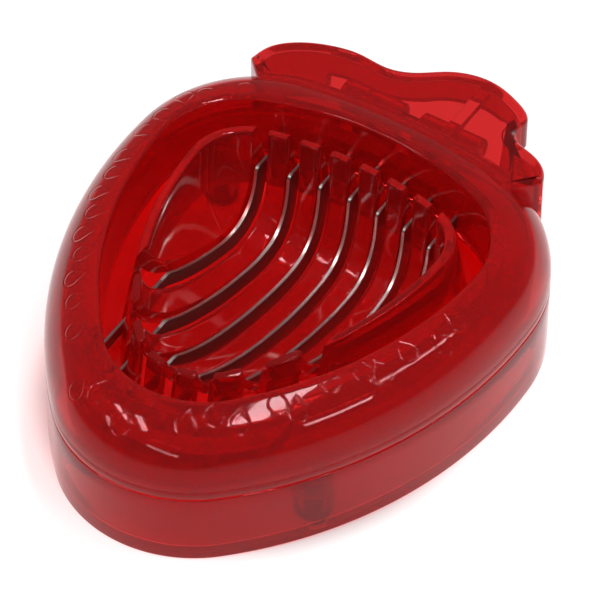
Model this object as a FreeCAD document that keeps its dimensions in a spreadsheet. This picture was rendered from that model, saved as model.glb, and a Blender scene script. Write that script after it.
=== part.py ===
import FreeCAD, Part
import math
import os

import Sketcher
from FreeCAD import Placement, Rotation, Vector

# Strawberry slicer: a base with a slotted bowl, and a hinged frame that carries seven curved
# blades. Millimetres, +Z up, the pointed tip towards -Y, the leaf cap towards +Y. The origin
# lies on the table under the middle of the whole object.

os.makedirs("parts", exist_ok=True)
doc = FreeCAD.newDocument("StrawberrySlicer")

SIZES = {
    # outline of the body, seen from above
    "body_half_width": 41.3,
    "body_back": 42.0,
    "body_front": 53.5,
    "body_back_radius": 163.0,
    "body_corner_radius": 27.8,
    "body_side_radius": 79.2,
    "body_tip_radius": 24.7,
    # outline of the opening in the frame
    "well_half_width": 32.3,
    "well_back": 30.1,
    "well_front": 42.4,
    "well_back_radius": 58.7,
    "well_corner_radius": 17.3,
    "well_side_radius": 71.8,
    "well_tip_radius": 17.8,
    # base
    "base_height": 15.2,
    "base_wall": 2.0,
    "floor_thickness": 2.0,
    "post_diameter": 7.0,
    "post_top": 8.0,
    "front_post_across": 24.3,
    "front_post_forward": 29.2,
    "rear_post_across": 30.5,
    "rear_post_back": 24.5,
    # bowl: the rim rises above the base's top edge, the underside clears the floor
    "bowl_half_width": 24.5,
    "bowl_centre": 7.2,
    "bowl_back_reach": 14.2,
    "bowl_front_reach": 42.2,
    "bowl_rise": 13.1,
    "bowl_floor_gap": 1.1,
    "bowl_wall": 1.6,
    # from the frame's opening to the foot of the bowl's tapered outer wall
    "skirt_gap": 3.0,
    "flange_thickness": 1.8,
    "flange_drop": 0.2,
    "slot_width": 2.4,
    "slot_end_gap": 0.6,
    # blades: proud of the bowl's floor, back wall and sides; ends above the base's top edge
    "blade_pitch": 6.0,
    "blade_thickness": 0.6,
    "blade_proud": 2.0,
    "blade_proud_back": 1.0,
    "blade_spread": 1.0,
    "blade_bite": 2.0,
    "rear_tang_rise": 5.3,
    "rear_tang_depth": 3.1,
    "front_tang_rise": 3.0,
    "front_tang_depth": 2.5,
    "front_hook_rise": 5.3,
    "tang_grip": 2.4,
    # frame
    "seam_gap": 0.3,
    "retainer_thickness": 1.7,
    "frame_rise": 11.8,
    "frame_wall": 2.0,
    "crest_bevel": 0.4,
    "comb_width": 3.6,
    "comb_height": 4.6,
    "comb_overhang": 2.6,
    # hinge: its axis above the base's top edge
    "hinge_back": 41.2,
    "hinge_rise": 6.3,
    "knuckle_radius": 2.8,
    "knuckle_gap": 0.3,
    "pin_diameter": 2.5,
    "pin_play": 0.05,
    "base_knuckle_inner": 2.0,
    "base_knuckle_outer": 9.0,
    "stem_thickness": 1.9,
    "ear_width": 4.7,
    "swing_radius": 7.2,
    # leaf cap: heights above the base's top edge
    "cap_rise": 12.8,
    "cap_skirt": 1.3,
    "cap_wall": 1.8,
    "cap_edge_radius": 1.2,
    "cap_relief_half_width": 20.0,
    "cap_relief_rise": 5.8,
    "vein_width": 2.2,
    "vein_depth": 1.4,
    "vein_across": 9.0,
    # screws
    "screw_diameter": 2.9,
    "screw_length": 9.5,
    "screw_head_diameter": 5.4,
    "screw_head_height": 1.8,
    "screw_head_recess": 0.6,
    # clearances
    "seat_clearance": 0.15,
    "fit_clearance": 0.05,
}

BLADES = 7
# powers of the bowl's section: across, towards the back, towards the tip
ACROSS_POWER = 2.6
BACK_POWER = 3.6
FRONT_POWER = 1.65
# radii of the bowl's outline as shares of its half width
BOWL_BACK_BULGE = 2.85
BOWL_CORNER_SHARE = 0.41
BOWL_SIDE_BULGE = 2.7
BOWL_TIP_SHARE = 0.505
# angles that space the sections of the bowl and of the frame's rounded shoulder
BOWL_ANGLES = (0, 18, 35, 51, 65, 76, 83)
SHOULDER_ANGLES = (0, 12, 24, 36, 48, 60, 75, 90)
# angles that space the sections of the leaf cap's rounded edge
EDGE_ANGLES = (0, 45, 90)

sheet = doc.addObject("Spreadsheet::Sheet", "Sizes")
for row, (name, value) in enumerate(SIZES.items(), start=1):
    sheet.set("A%d" % row, name)
    sheet.set("B%d" % row, str(value))
    sheet.setAlias("B%d" % row, name)
doc.recompute()


def size(name):
    """One driving size from the sheet, in millimetres."""
    return float(getattr(sheet, name))


def above_base(name):
    """A height that the sheet gives as a rise above the base's top edge."""
    return size("base_height") + size(name)


# Outlines: a strawberry outline is six tangent arcs, clockwise from above: back, right corner,
# right side, tip, left side, left corner. It is given by its half width, its reach to the back
# and to the front, and the radii of back, corner, side and tip.

def outline_values(prefix, offset=0.0):
    """The seven values of a named outline, moved outwards by offset."""
    endings = ("half_width", "back", "front", "back_radius", "corner_radius", "side_radius",
               "tip_radius")
    return tuple(size(prefix + "_" + ending) + offset for ending in endings)


def mixed(first, second, share):
    """Values between two outlines: share 0 gives the first, share 1 the second."""
    return tuple(a + (b - a) * share for a, b in zip(first, second))


def arc_centres(values):
    """Centres of the back, corner, side and tip arcs: arcs that touch smoothly have their
    centres as far apart as their radii differ."""
    half, back, front, r_back, r_corner, r_side, r_tip = values
    c_back = Vector(0, back - r_back, 0)
    c_tip = Vector(0, r_tip - front, 0)
    across = half - r_corner
    c_corner = Vector(across, c_back.y + math.sqrt((r_back - r_corner) ** 2 - across ** 2), 0)
    to_corner = r_side - r_corner
    to_tip = r_side - r_tip
    span = c_tip - c_corner
    along = (to_corner ** 2 - to_tip ** 2 + span.Length ** 2) / (2 * span.Length)
    aside = math.sqrt(to_corner ** 2 - along ** 2)
    unit = span / span.Length
    c_side = c_corner + unit * along + Vector(unit.y, -unit.x, 0) * aside
    return c_back, c_corner, c_side, c_tip


def mirrored(point):
    return Vector(-point.x, point.y, point.z)


def beyond(centre, through, radius):
    """The point at radius from a centre, on the ray through a second point."""
    step = through - centre
    return centre + step * (radius / step.Length)


def outline_arcs(values):
    """The six arcs of an outline, clockwise from above, as (centre, radius, start, end)."""
    r_back, r_corner, r_side, r_tip = values[3:]
    c_back, c_corner, c_side, c_tip = arc_centres(values)
    back_right = beyond(c_back, c_corner, r_back)
    side_right = beyond(c_side, c_corner, r_side)
    tip_right = beyond(c_side, c_tip, r_side)
    back_left = mirrored(back_right)
    side_left = mirrored(side_right)
    tip_left = mirrored(tip_right)
    return [
        (c_back, r_back, back_left, back_right),
        (c_corner, r_corner, back_right, side_right),
        (c_side, r_side, side_right, tip_right),
        (c_tip, r_tip, tip_right, tip_left),
        (mirrored(c_side), r_side, tip_left, side_left),
        (mirrored(c_corner), r_corner, side_left, back_left),
    ]


def outline_wire(values, height):
    """The closed outline at a height."""
    edges = []
    for centre, radius, start, end in outline_arcs(values):
        middle = beyond(centre, (start + end) * 0.5, radius)
        edges.append(Part.Arc(start, middle, end).toShape())
    wire = Part.Wire(edges)
    wire.translate(Vector(0, 0, height))
    return wire


def prism(wire, rise):
    """A solid from a flat wire, straight up."""
    return Part.Face(wire).extrude(Vector(0, 0, rise))


def box(x0, x1, y0, y1, z0, z1):
    return Part.makeBox(x1 - x0, y1 - y0, z1 - z0, Vector(x0, y0, z0))


def rod_across(radius, x0, x1):
    """A round bar along X about the hinge axis."""
    start = Vector(x0, size("hinge_back"), above_base("hinge_rise"))
    return Part.makeCylinder(radius, x1 - x0, start, Vector(1, 0, 0))


def add_shape(label, shape):
    """A sub-part made from one computed solid."""
    piece = doc.addObject("Part::Feature", label)
    piece.Label = label
    piece.Shape = shape
    piece.Placement = Placement(Vector(0, 0, 0), Rotation())
    return piece


# Sketches and bodies

def new_body(label):
    body = doc.addObject("PartDesign::Body", label)
    body.Label = label
    body.Placement = Placement(Vector(0, 0, 0), Rotation())
    return body


def new_sketch(body, name, role, shift=None):
    """A sketch on one of the body's own planes, moved along the plane's normal by a formula."""
    sketch = body.newObject("Sketcher::SketchObject", name)
    plane = [item for item in body.Origin.OriginFeatures if item.Role == role][0]
    sketch.AttachmentSupport = (plane, [""])
    sketch.MapMode = "FlatFace"
    if shift is not None:
        sketch.setExpression(".AttachmentOffset.Base.z", shift)
    return sketch


def number(sketch, formula):
    """The value of a formula of the sheet."""
    return float(sketch.evalExpression(formula))


def constrain(sketch, name, formula, *constraint):
    """Adds a driving constraint whose value follows a formula of the sheet."""
    index = sketch.addConstraint(Sketcher.Constraint(*constraint))
    sketch.renameConstraint(index, name)
    sketch.setExpression("Constraints." + name, formula)


def turn(centre, point):
    """The direction of a point as seen from a centre, in radians."""
    return math.atan2(point.y - centre.y, point.x - centre.x)


def draw_outline(sketch, tag, prefix, offset="0"):
    """Draws a named outline, moved outwards by the formula offset."""
    values = outline_values(prefix, number(sketch, offset))
    arcs = outline_arcs(values)
    first = sketch.GeometryCount
    for centre, radius, start, end in arcs:
        circle = Part.Circle(centre, Vector(0, 0, 1), radius)
        # a sketch arc runs counterclockwise, so it starts where the outline's arc ends
        sketch.addGeometry(Part.ArcOfCircle(circle, turn(centre, end), turn(centre, start)))
    for index in range(len(arcs)):
        following = (index + 1) % len(arcs)
        sketch.addConstraint(Sketcher.Constraint("Tangent", first + index, 1, first + following, 2))
    back, corner, side, tip, side_left, corner_left = range(first, first + len(arcs))
    named = "Sizes." + prefix
    sketch.addConstraint(Sketcher.Constraint("PointOnObject", back, 3, -2))
    sketch.addConstraint(Sketcher.Constraint("PointOnObject", tip, 3, -2))
    sketch.addConstraint(Sketcher.Constraint("Equal", corner, corner_left))
    sketch.addConstraint(Sketcher.Constraint("Equal", side, side_left))
    for label, arc, radius in zip(("back", "corner", "side", "tip"), (back, corner, side, tip),
                                  values[3:]):
        formula = "%s_%s_radius + %s" % (named, label, offset)
        constrain(sketch, tag + "_" + label, formula, "Radius", arc, radius)
    c_back, c_corner, c_side, c_tip = arc_centres(values)
    back_centre = "%s_back_radius - %s_back" % (named, named)
    tip_centre = "%s_front - %s_tip_radius" % (named, named)
    across = "%s_half_width - %s_corner_radius" % (named, named)
    constrain(sketch, tag + "_back_centre", back_centre, "DistanceY", back, 3, -1, 1, -c_back.y)
    constrain(sketch, tag + "_tip_centre", tip_centre, "DistanceY", tip, 3, -1, 1, -c_tip.y)
    constrain(sketch, tag + "_right", across, "DistanceX", -1, 1, corner, 3, c_corner.x)
    constrain(sketch, tag + "_left", across, "DistanceX", corner_left, 3, -1, 1, c_corner.x)


def place_point(sketch, tag, index, point, x, y):
    """Ties a point of the sketch to formulas for its distance from the two axes."""
    for axis, formula in (("X", x), ("Y", y)):
        value = number(sketch, formula)
        if value > 0:
            constrain(sketch, tag + axis, formula, "Distance" + axis, -1, 1, index, point, value)
        else:
            opposite = "-1 * (%s)" % formula
            constrain(sketch, tag + axis, opposite, "Distance" + axis, index, point, -1, 1, -value)


def draw_circle(sketch, tag, x, y, radius):
    """Draws a circle whose centre and radius follow formulas of the sheet."""
    centre = Vector(number(sketch, x), number(sketch, y), 0)
    circle = Part.Circle(centre, Vector(0, 0, 1), number(sketch, radius))
    index = sketch.addGeometry(circle)
    constrain(sketch, tag + "_radius", radius, "Radius", index, circle.Radius)
    place_point(sketch, tag + "_centre", index, 3, x, y)


def draw_polygon(sketch, tag, corners):
    """Draws a closed polygon whose corners follow pairs of formulas."""
    points = [Vector(number(sketch, x), number(sketch, y), 0) for x, y in corners]
    first = sketch.GeometryCount
    count = len(points)
    for index in range(count):
        sketch.addGeometry(Part.LineSegment(points[index], points[(index + 1) % count]))
    for index in range(count):
        following = first + (index + 1) % count
        sketch.addConstraint(Sketcher.Constraint("Coincident", first + index, 2, following, 1))
    for index, (x, y) in enumerate(corners):
        place_point(sketch, "%s_%d" % (tag, index), first + index, 1, x, y)


def pad(body, name, sketch, length):
    feature = body.newObject("PartDesign::Pad", name)
    feature.Profile = sketch
    feature.setExpression("Length", length)
    doc.recompute()
    return feature


def pocket(body, name, sketch, length, both_ways=False):
    """Cuts below the sketch, or both ways from it, and checks that material goes."""
    before = body.Shape.Volume
    feature = body.newObject("PartDesign::Pocket", name)
    feature.Profile = sketch
    feature.Midplane = both_ways
    feature.setExpression("Length", length)
    doc.recompute()
    if body.Shape.Volume >= before:
        raise ValueError(name + " cuts nothing")
    return feature


# Base shell: upright wall and floor, screw posts, hinge posts

POSTS = (
    ("front_right", "Sizes.front_post_across", "-1 * Sizes.front_post_forward"),
    ("front_left", "-1 * Sizes.front_post_across", "-1 * Sizes.front_post_forward"),
    ("rear_right", "Sizes.rear_post_across", "Sizes.rear_post_back"),
    ("rear_left", "-1 * Sizes.rear_post_across", "Sizes.rear_post_back"),
)


def draw_posts(sketch, radius):
    for name, x, y in POSTS:
        draw_circle(sketch, name, x, y, radius)


HINGE_HEIGHT = "(Sizes.base_height + Sizes.hinge_rise)"


def draw_about_hinge(sketch, radius):
    draw_circle(sketch, "hinge", "Sizes.hinge_back", HINGE_HEIGHT, radius)


def base_shell():
    body = new_body("base_shell")
    outside = new_sketch(body, "base_outline", "XY_Plane")
    draw_outline(outside, "outer", "body")
    pad(body, "base_block", outside, "Sizes.base_height")
    inside = new_sketch(body, "base_inside", "XY_Plane", "Sizes.base_height")
    draw_outline(inside, "inner", "body", "-1 * Sizes.base_wall")
    pocket(body, "base_hollow", inside, "Sizes.base_height - Sizes.floor_thickness")
    swing = new_sketch(body, "swing_circle", "YZ_Plane")
    draw_about_hinge(swing, "Sizes.swing_radius")
    pocket(body, "swing_relief", swing, "2 * Sizes.body_half_width", True)
    posts = new_sketch(body, "post_circles", "XY_Plane", "Sizes.floor_thickness")
    draw_posts(posts, "Sizes.post_diameter / 2")
    pad(body, "screw_posts", posts, "Sizes.post_top - Sizes.floor_thickness")
    bores = new_sketch(body, "bore_circles", "XY_Plane", "Sizes.post_top")
    draw_posts(bores, "Sizes.screw_diameter / 2 + Sizes.seat_clearance")
    pocket(body, "screw_bores", bores, "Sizes.post_top")
    recess = "Sizes.screw_head_recess + Sizes.screw_head_height"
    heads = new_sketch(body, "head_circles", "XY_Plane", recess)
    draw_posts(heads, "Sizes.screw_head_diameter / 2 + Sizes.seat_clearance")
    pocket(body, "head_recesses", heads, recess)
    width = "Sizes.base_knuckle_outer - Sizes.base_knuckle_inner"
    back = "Sizes.body_back - Sizes.fit_clearance"
    front = back + " - Sizes.stem_thickness"
    for side, start in (("right", "Sizes.base_knuckle_inner"),
                        ("left", "-1 * Sizes.base_knuckle_outer")):
        stem = new_sketch(body, "stem_outline_" + side, "YZ_Plane", start)
        draw_polygon(stem, "stem", (
            (front, "Sizes.floor_thickness"),
            (back, "Sizes.floor_thickness"),
            (back, HINGE_HEIGHT),
            (front, HINGE_HEIGHT),
        ))
        pad(body, "hinge_stem_" + side, stem, width)
        barrel = new_sketch(body, "barrel_circle_" + side, "YZ_Plane", start)
        draw_about_hinge(barrel, "Sizes.knuckle_radius")
        pad(body, "hinge_barrel_" + side, barrel, width)
    bore = new_sketch(body, "pin_bore_circle", "YZ_Plane")
    draw_about_hinge(bore, "Sizes.pin_diameter / 2 + Sizes.pin_play")
    pocket(body, "pin_bore", bore, "4 * Sizes.base_knuckle_outer", True)
    return body


# Blade retainer: the flat plate that closes the frame from below

def blade_retainer():
    body = new_body("blade_retainer")
    bottom = "Sizes.base_height + Sizes.seam_gap"
    plate = new_sketch(body, "retainer_outline", "XY_Plane", bottom)
    draw_outline(plate, "outer", "body")
    draw_outline(plate, "inner", "well", "(Sizes.frame_wall + Sizes.fit_clearance)")
    pad(body, "retainer_plate", plate, "Sizes.retainer_thickness")
    gap = new_sketch(body, "gap_outline", "XY_Plane", bottom + " + Sizes.retainer_thickness")
    half = "(Sizes.base_knuckle_outer + Sizes.knuckle_gap)"
    front = "Sizes.hinge_back - Sizes.knuckle_radius - Sizes.knuckle_gap"
    back = "Sizes.body_back + Sizes.base_wall"
    draw_polygon(gap, "gap", (
        ("-1 * " + half, front),
        (half, front),
        (half, back),
        ("-1 * " + half, back),
    ))
    pocket(body, "hinge_gap", gap, "Sizes.retainer_thickness")
    return body


# Hinge pin and bowl screws

def hinge_pin():
    body = new_body("hinge_pin")
    half = "(Sizes.base_knuckle_outer + Sizes.knuckle_gap + Sizes.ear_width)"
    section = new_sketch(body, "pin_section", "YZ_Plane", "-1 * " + half)
    draw_about_hinge(section, "Sizes.pin_diameter / 2")
    pad(body, "pin_rod", section, "2 * " + half)
    return body


def bowl_screws():
    """Four screws with flat round heads: one is drawn as a head disc and a shank."""
    screws = []
    for across, along in (("front_post_across", -size("front_post_forward")),
                          ("rear_post_across", size("rear_post_back"))):
        for side in (1, -1):
            foot = Vector(side * size(across), along, size("screw_head_recess"))
            head = Part.makeCylinder(size("screw_head_diameter") / 2, size("screw_head_height"), foot)
            shank = Part.makeCylinder(size("screw_diameter") / 2, size("screw_length"), foot)
            screws.append(head.fuse(shank).removeSplitter())
    return add_shape("bowl_screws", Part.makeCompound(screws))


# Slotted bowl

def fall(share, power):
    """A superellipse: 1 at the rim, 0 at the deepest point."""
    return (1 - share ** power) ** (1 / power)


def bowl_outline(half, back_reach, front_reach):
    """The bowl's outline values at one level, about the bowl's own centre."""
    centre = size("bowl_centre")
    return (half, centre + back_reach, front_reach - centre, BOWL_BACK_BULGE * half,
            BOWL_CORNER_SHARE * half, BOWL_SIDE_BULGE * half, BOWL_TIP_SHARE * half)


def cup(half_width, back_reach, front_reach, depth):
    """A rounded hollow as a solid up to the bowl's rim: outlines that shrink with the depth."""
    sections = []
    for angle in BOWL_ANGLES:
        share = math.sin(math.radians(angle))
        values = bowl_outline(half_width * fall(share, ACROSS_POWER),
                              back_reach * fall(share, BACK_POWER),
                              front_reach * fall(share, FRONT_POWER))
        sections.append(outline_wire(values, above_base("bowl_rise") - depth * share))
    return Part.makeLoft(sections[::-1], True, True)


def bowl_depth():
    """From the rim down to the hollow's deepest point."""
    underside = size("floor_thickness") + size("bowl_floor_gap")
    return above_base("bowl_rise") - underside - size("bowl_wall")


def bowl_form(offset):
    """The bowl's hollow, grown outwards by offset."""
    return cup(size("bowl_half_width") + offset, size("bowl_back_reach") + offset,
               size("bowl_front_reach") + offset, bowl_depth() + offset)


def blade_form():
    """The hollow that the blades' upper edges leave free."""
    return cup(size("bowl_half_width") + size("blade_spread"),
               size("bowl_back_reach") - size("blade_proud_back"),
               size("bowl_front_reach"), bowl_depth() - size("blade_proud"))


def flange_bottom():
    return size("base_height") - size("flange_drop") - size("flange_thickness")


def skirt_form(inset):
    """The space inside the bowl's tapered outer wall, moved in by inset: from a foot inside the
    frame's opening up to the rim."""
    grow = size("bowl_wall") - inset
    rim = bowl_outline(size("bowl_half_width") + grow, size("bowl_back_reach") + grow,
                       size("bowl_front_reach") + grow)
    foot = outline_wire(outline_values("well", -size("skirt_gap") - inset),
                        flange_bottom() - inset)
    return Part.makeLoft([foot, outline_wire(rim, above_base("bowl_rise"))], True, True)


def slab(x, width):
    """An upright slice of space across the body."""
    reach = size("body_front") + size("body_back")
    return box(x - width / 2, x + width / 2, -reach, reach, 0, reach)


def blade_places():
    middle = (BLADES - 1) / 2
    return [(index - middle) * size("blade_pitch") for index in range(BLADES)]


def swing_relief():
    """The space about the hinge that the cap sweeps when the frame opens."""
    return rod_across(size("swing_radius"), -size("body_half_width"), size("body_half_width"))


def blade_slots():
    """Slots between the bowl's teeth: through the bowl's wall, and through its outer wall as
    far down as the flange."""
    reach = size("body_front") + size("body_back")
    flange_top = flange_bottom() + size("flange_thickness")
    through_wall = bowl_form(size("bowl_wall") + size("slot_end_gap"))
    above_flange = box(-reach, reach, -reach, reach, flange_top, reach)
    slabs = [slab(x, size("slot_width")) for x in blade_places()]
    return Part.makeCompound([through_wall.common(cut) for cut in slabs]
                             + [above_flange.common(cut) for cut in slabs])


def slotted_bowl():
    inside = outline_wire(outline_values("body", -size("base_wall") - size("seat_clearance")),
                          flange_bottom())
    wall = size("bowl_wall")
    outer = bowl_form(wall)
    core = skirt_form(wall).cut(outer)
    bowl = prism(inside, size("flange_thickness")).fuse([outer, skirt_form(0)])
    bowl = bowl.cut(core).cut(bowl_form(0))
    for across, along in (("front_post_across", -size("front_post_forward")),
                          ("rear_post_across", size("rear_post_back"))):
        for side in (1, -1):
            foot = Vector(side * size(across), along, size("post_top"))
            rise = flange_bottom() - size("post_top") + size("fit_clearance")
            bowl = bowl.fuse(Part.makeCylinder(size("post_diameter") / 2, rise, foot))
            bore = size("screw_head_recess") + size("screw_length") + size("seat_clearance")
            bowl = bowl.cut(Part.makeCylinder(size("screw_diameter") / 2 + size("fit_clearance"),
                                              bore - size("post_top"), foot))
    bowl = bowl.cut(blade_slots()).cut(swing_relief())
    return add_shape("slotted_bowl", bowl.removeSplitter())


# Blade frame: the hollow ring with a rounded shoulder

def frame_bottom():
    return size("base_height") + size("seam_gap") + size("retainer_thickness")


def shoulder_form(offset):
    """The ring with its opening filled, moved outwards by offset: outlines that shrink from
    the body's to the well's along a quarter ellipse."""
    outer = outline_values("body", offset)
    inner = outline_values("well", -offset)
    sections = []
    for angle in SHOULDER_ANGLES:
        lean = math.radians(angle)
        rise = (size("frame_rise") + offset) * math.sin(lean)
        sections.append(outline_wire(mixed(inner, outer, math.cos(lean)), frame_bottom() + rise))
    return Part.makeLoft(sections, True, True)


def well_prism(offset):
    """The frame's opening as a column, moved outwards by offset."""
    bottom = size("base_height") + size("seam_gap")
    wire = outline_wire(outline_values("well", offset), bottom)
    return prism(wire, 2 * size("frame_rise"))


def crest_cut():
    """The flare that takes the sharp inner edge off the ring's crest."""
    top = frame_bottom() + size("frame_rise")
    bevel = size("crest_bevel")
    sections = [outline_wire(outline_values("well", step), top + step - bevel)
                for step in (0, 2 * bevel)]
    return Part.makeLoft(sections, True, True)


def hinge_gap():
    """The notch in the frame's back that the base's knuckles stand in."""
    half = size("base_knuckle_outer") + size("knuckle_gap")
    front = size("hinge_back") - size("knuckle_radius") - size("knuckle_gap")
    back = 2 * size("body_back")
    return box(-half, half, front, back, 0, back)


def tang_slices(offset, side_play, top_play):
    """The upright slices that the blade ends fill, as far as the well wall moved outwards by
    offset: one list for the rear ends, one for the front ends."""
    bottom = size("base_height") + size("seam_gap")
    reach = size("body_front") + size("body_back")
    column = well_prism(offset)
    width = size("blade_thickness") + 2 * side_play
    tops = ((0, reach, "rear_tang_rise"), (-reach, 0, "front_tang_rise"))
    ends = []
    for start, end, top in tops:
        space = column.common(box(-reach, reach, start, end, bottom, above_base(top) + top_play))
        ends.append([space.common(slab(x, width)) for x in blade_places()])
    return ends


def blade_frame():
    wall = size("frame_wall")
    play = size("fit_clearance")
    reach = size("body_front") + size("body_back")
    half = size("base_knuckle_outer") + size("knuckle_gap")
    gap_front = size("hinge_back") - size("knuckle_radius") - size("knuckle_gap")
    around_gap = box(-half - wall, half + wall, gap_front - wall, reach, 0, reach)
    collar = well_prism(wall).common(box(-reach, reach, -reach, reach, 0, frame_bottom()))
    hollow = shoulder_form(-wall).cut(well_prism(wall)).cut(around_gap)
    ring = shoulder_form(0).cut(hollow).fuse(collar).cut(well_prism(0))
    ring = ring.cut(crest_cut()).cut(hinge_gap())
    ear_end = half + size("ear_width")
    for start, end in ((half, ear_end), (-ear_end, -half)):
        ring = ring.fuse(rod_across(size("knuckle_radius"), start, end))
    ring = ring.cut(rod_across(size("pin_diameter") / 2 + size("pin_play"), -ear_end, ear_end))
    for slices in tang_slices(wall + play, play, play):
        ring = ring.cut(Part.makeCompound(slices))
    return add_shape("blade_frame", ring.removeSplitter())


# Combs inside the frame that hold the blade ends

def comb(label, rear):
    play = size("fit_clearance")
    inner = size("frame_wall") + play
    reach = size("body_front") + size("body_back")
    half = blade_places()[-1] + size("comb_overhang")
    start, end = (0, reach) if rear else (-reach, 0)
    top = frame_bottom() + size("comb_height")
    band = well_prism(inner + size("comb_width")).cut(well_prism(inner))
    bar = band.common(box(-half, half, start, end, frame_bottom(), top))
    held = well_prism(inner + size("tang_grip"))
    tip = above_base("rear_tang_rise" if rear else "front_hook_rise")
    notch = held.common(box(-half, half, start, end, frame_bottom(), tip + play))
    width = size("blade_thickness") + 2 * play
    bar = bar.cut(Part.makeCompound([notch.common(slab(x, width)) for x in blade_places()]))
    return add_shape(label, bar.removeSplitter())


# Blades: thin upright strips that follow the bowl's hollow, half above it and half in its slots

def blade_bands():
    """The space that all blades fill together, before it is sliced."""
    reach = size("body_front") + size("body_back")
    wall = size("frame_wall")
    play = size("fit_clearance")
    rear_top = above_base("rear_tang_rise")
    front_top = above_base("front_tang_rise")
    rear_space = box(-reach, reach, 0, reach, 0, rear_top)
    front_space = box(-reach, reach, -reach, 0, 0, front_top)
    bent = bowl_form(size("blade_bite")).common(rear_space.fuse(front_space))
    rear_tang = well_prism(wall + size("tang_grip")).common(
        box(-reach, reach, 0, reach, rear_top - size("rear_tang_depth"), rear_top))
    front_tang = well_prism(wall).common(
        box(-reach, reach, -reach, 0, front_top - size("front_tang_depth"), front_top))
    hook = well_prism(wall + size("tang_grip")).cut(well_prism(wall)).common(
        box(-reach, reach, -reach, 0, frame_bottom() + play, above_base("front_hook_rise")))
    return bent.fuse([rear_tang, front_tang, hook]).cut(blade_form())


def blades():
    bands = blade_bands()
    pieces = []
    for number_of_blade, x in enumerate(blade_places(), start=1):
        strip = bands.common(slab(x, size("blade_thickness"))).removeSplitter()
        pieces.append(add_shape("blade_%d" % number_of_blade, strip))
    return pieces


# Leaf cap: a three-lobed hollow cap, open below, cut to sit on the frame's shoulder

# points that the lobes' outline passes through, from the left front corner to the right one
LEAF_POINTS = (
    (-30.3, 35.1), (-29.4, 38.9), (-26.2, 42.6), (-20.3, 45.6), (-13.8, 46.7), (-8.2, 46.4),
    (-3.8, 47.9), (1.4, 51.6), (8.4, 53.6), (14.8, 51.6), (18.6, 47.6), (18.5, 44.4),
    (21.2, 42.9), (25.0, 41.7), (28.6, 39.2), (29.8, 36.7),
)
# front ends of the side lobes, over the frame's shoulder
LEAF_FRONT = ((24.2, 30.2), (-24.2, 29.0))


def inward(step):
    """The unit normal to the right of a step, which is inwards on a clockwise outline."""
    return Vector(step.y, -step.x, 0) / step.Length


def moved_in(point, arriving, leaving, inset):
    """A corner moved inwards, so that both its sides move by inset."""
    before, after = inward(arriving), inward(leaving)
    return point + (before + after) * (inset / (1 + before.dot(after)))


def leaf_wire(height, inset=0.0):
    """The cap's closed outline: a curve through the lobes' points and three straight sides."""
    points = [Vector(x, y, height) for x, y in LEAF_POINTS]
    front = [Vector(x, y, height) for x, y in LEAF_FRONT]
    lobes = Part.BSplineCurve()
    lobes.interpolate(points)
    ways = [lobes.tangent(lobes.parameter(point))[0] for point in points]
    sides = [front[0] - points[-1], front[1] - front[0], points[0] - front[1]]
    arriving = [sides[2]] + ways[1:]
    leaving = ways[:-1] + [sides[0]]
    inner = [moved_in(*corner, inset) for corner in zip(points, arriving, leaving)]
    inner_front = [moved_in(front[0], sides[0], sides[1], inset),
                   moved_in(front[1], sides[1], sides[2], inset)]
    curve = Part.BSplineCurve()
    curve.interpolate(inner)
    corners = [inner[-1]] + inner_front + [inner[0]]
    edges = [Part.LineSegment(p, q).toShape() for p, q in zip(corners, corners[1:])]
    return Part.Wire([curve.toShape()] + edges)


def leaf_cap():
    reach = size("body_front") + size("body_back")
    bottom = above_base("cap_skirt")
    top = above_base("cap_rise")
    roof = top - size("cap_wall")
    sections = [leaf_wire(bottom)]
    for angle in EDGE_ANGLES:
        lean = math.radians(angle)
        radius = size("cap_edge_radius")
        height = top - radius * (1 - math.sin(lean))
        sections.append(leaf_wire(height, radius * (1 - math.cos(lean))))
    block = Part.makeLoft(sections, True, True)
    hollow = prism(leaf_wire(bottom, size("cap_wall")), roof - bottom)
    vein_half = size("vein_width") / 2
    vein = box(size("vein_across") - vein_half, size("vein_across") + vein_half, 0, reach,
               roof - size("vein_depth"), top)
    relief_half = size("cap_relief_half_width")
    relief = box(-relief_half, relief_half, 0, reach, 0, above_base("cap_relief_rise"))
    body = prism(outline_wire(outline_values("body"), 0), frame_bottom())
    cap = block.cut(hollow.cut(vein)).cut(relief).cut(shoulder_form(0)).cut(body)
    return add_shape("leaf_cap", cap.removeSplitter())


subparts = [base_shell(), slotted_bowl(), bowl_screws(), hinge_pin(), blade_frame(),
            blade_retainer(), comb("rear_blade_comb", True), comb("front_blade_comb", False)]
subparts += blades()
subparts.append(leaf_cap())
doc.recompute()

for item in doc.Objects:
    if "Invalid" in item.State or "Error" in item.State:
        raise RuntimeError(item.Name + " failed: " + ", ".join(item.State))
for item in subparts:
    if item.Shape.isNull() or not item.Shape.isValid():
        raise RuntimeError(item.Label + " has no valid shape")
for item in subparts:
    item.Shape.exportStep("parts/" + item.Label + ".step")
    bounds = item.Shape.BoundBox
    print("%-18s solids %d volume %8.1f x %6.1f..%5.1f y %6.1f..%5.1f z %5.1f..%4.1f" % (
        item.Label, len(item.Shape.Solids), item.Shape.Volume, bounds.XMin, bounds.XMax,
        bounds.YMin, bounds.YMax, bounds.ZMin, bounds.ZMax))
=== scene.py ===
import math

import bpy
import numpy as np
from mathutils import Matrix, Vector


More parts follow.
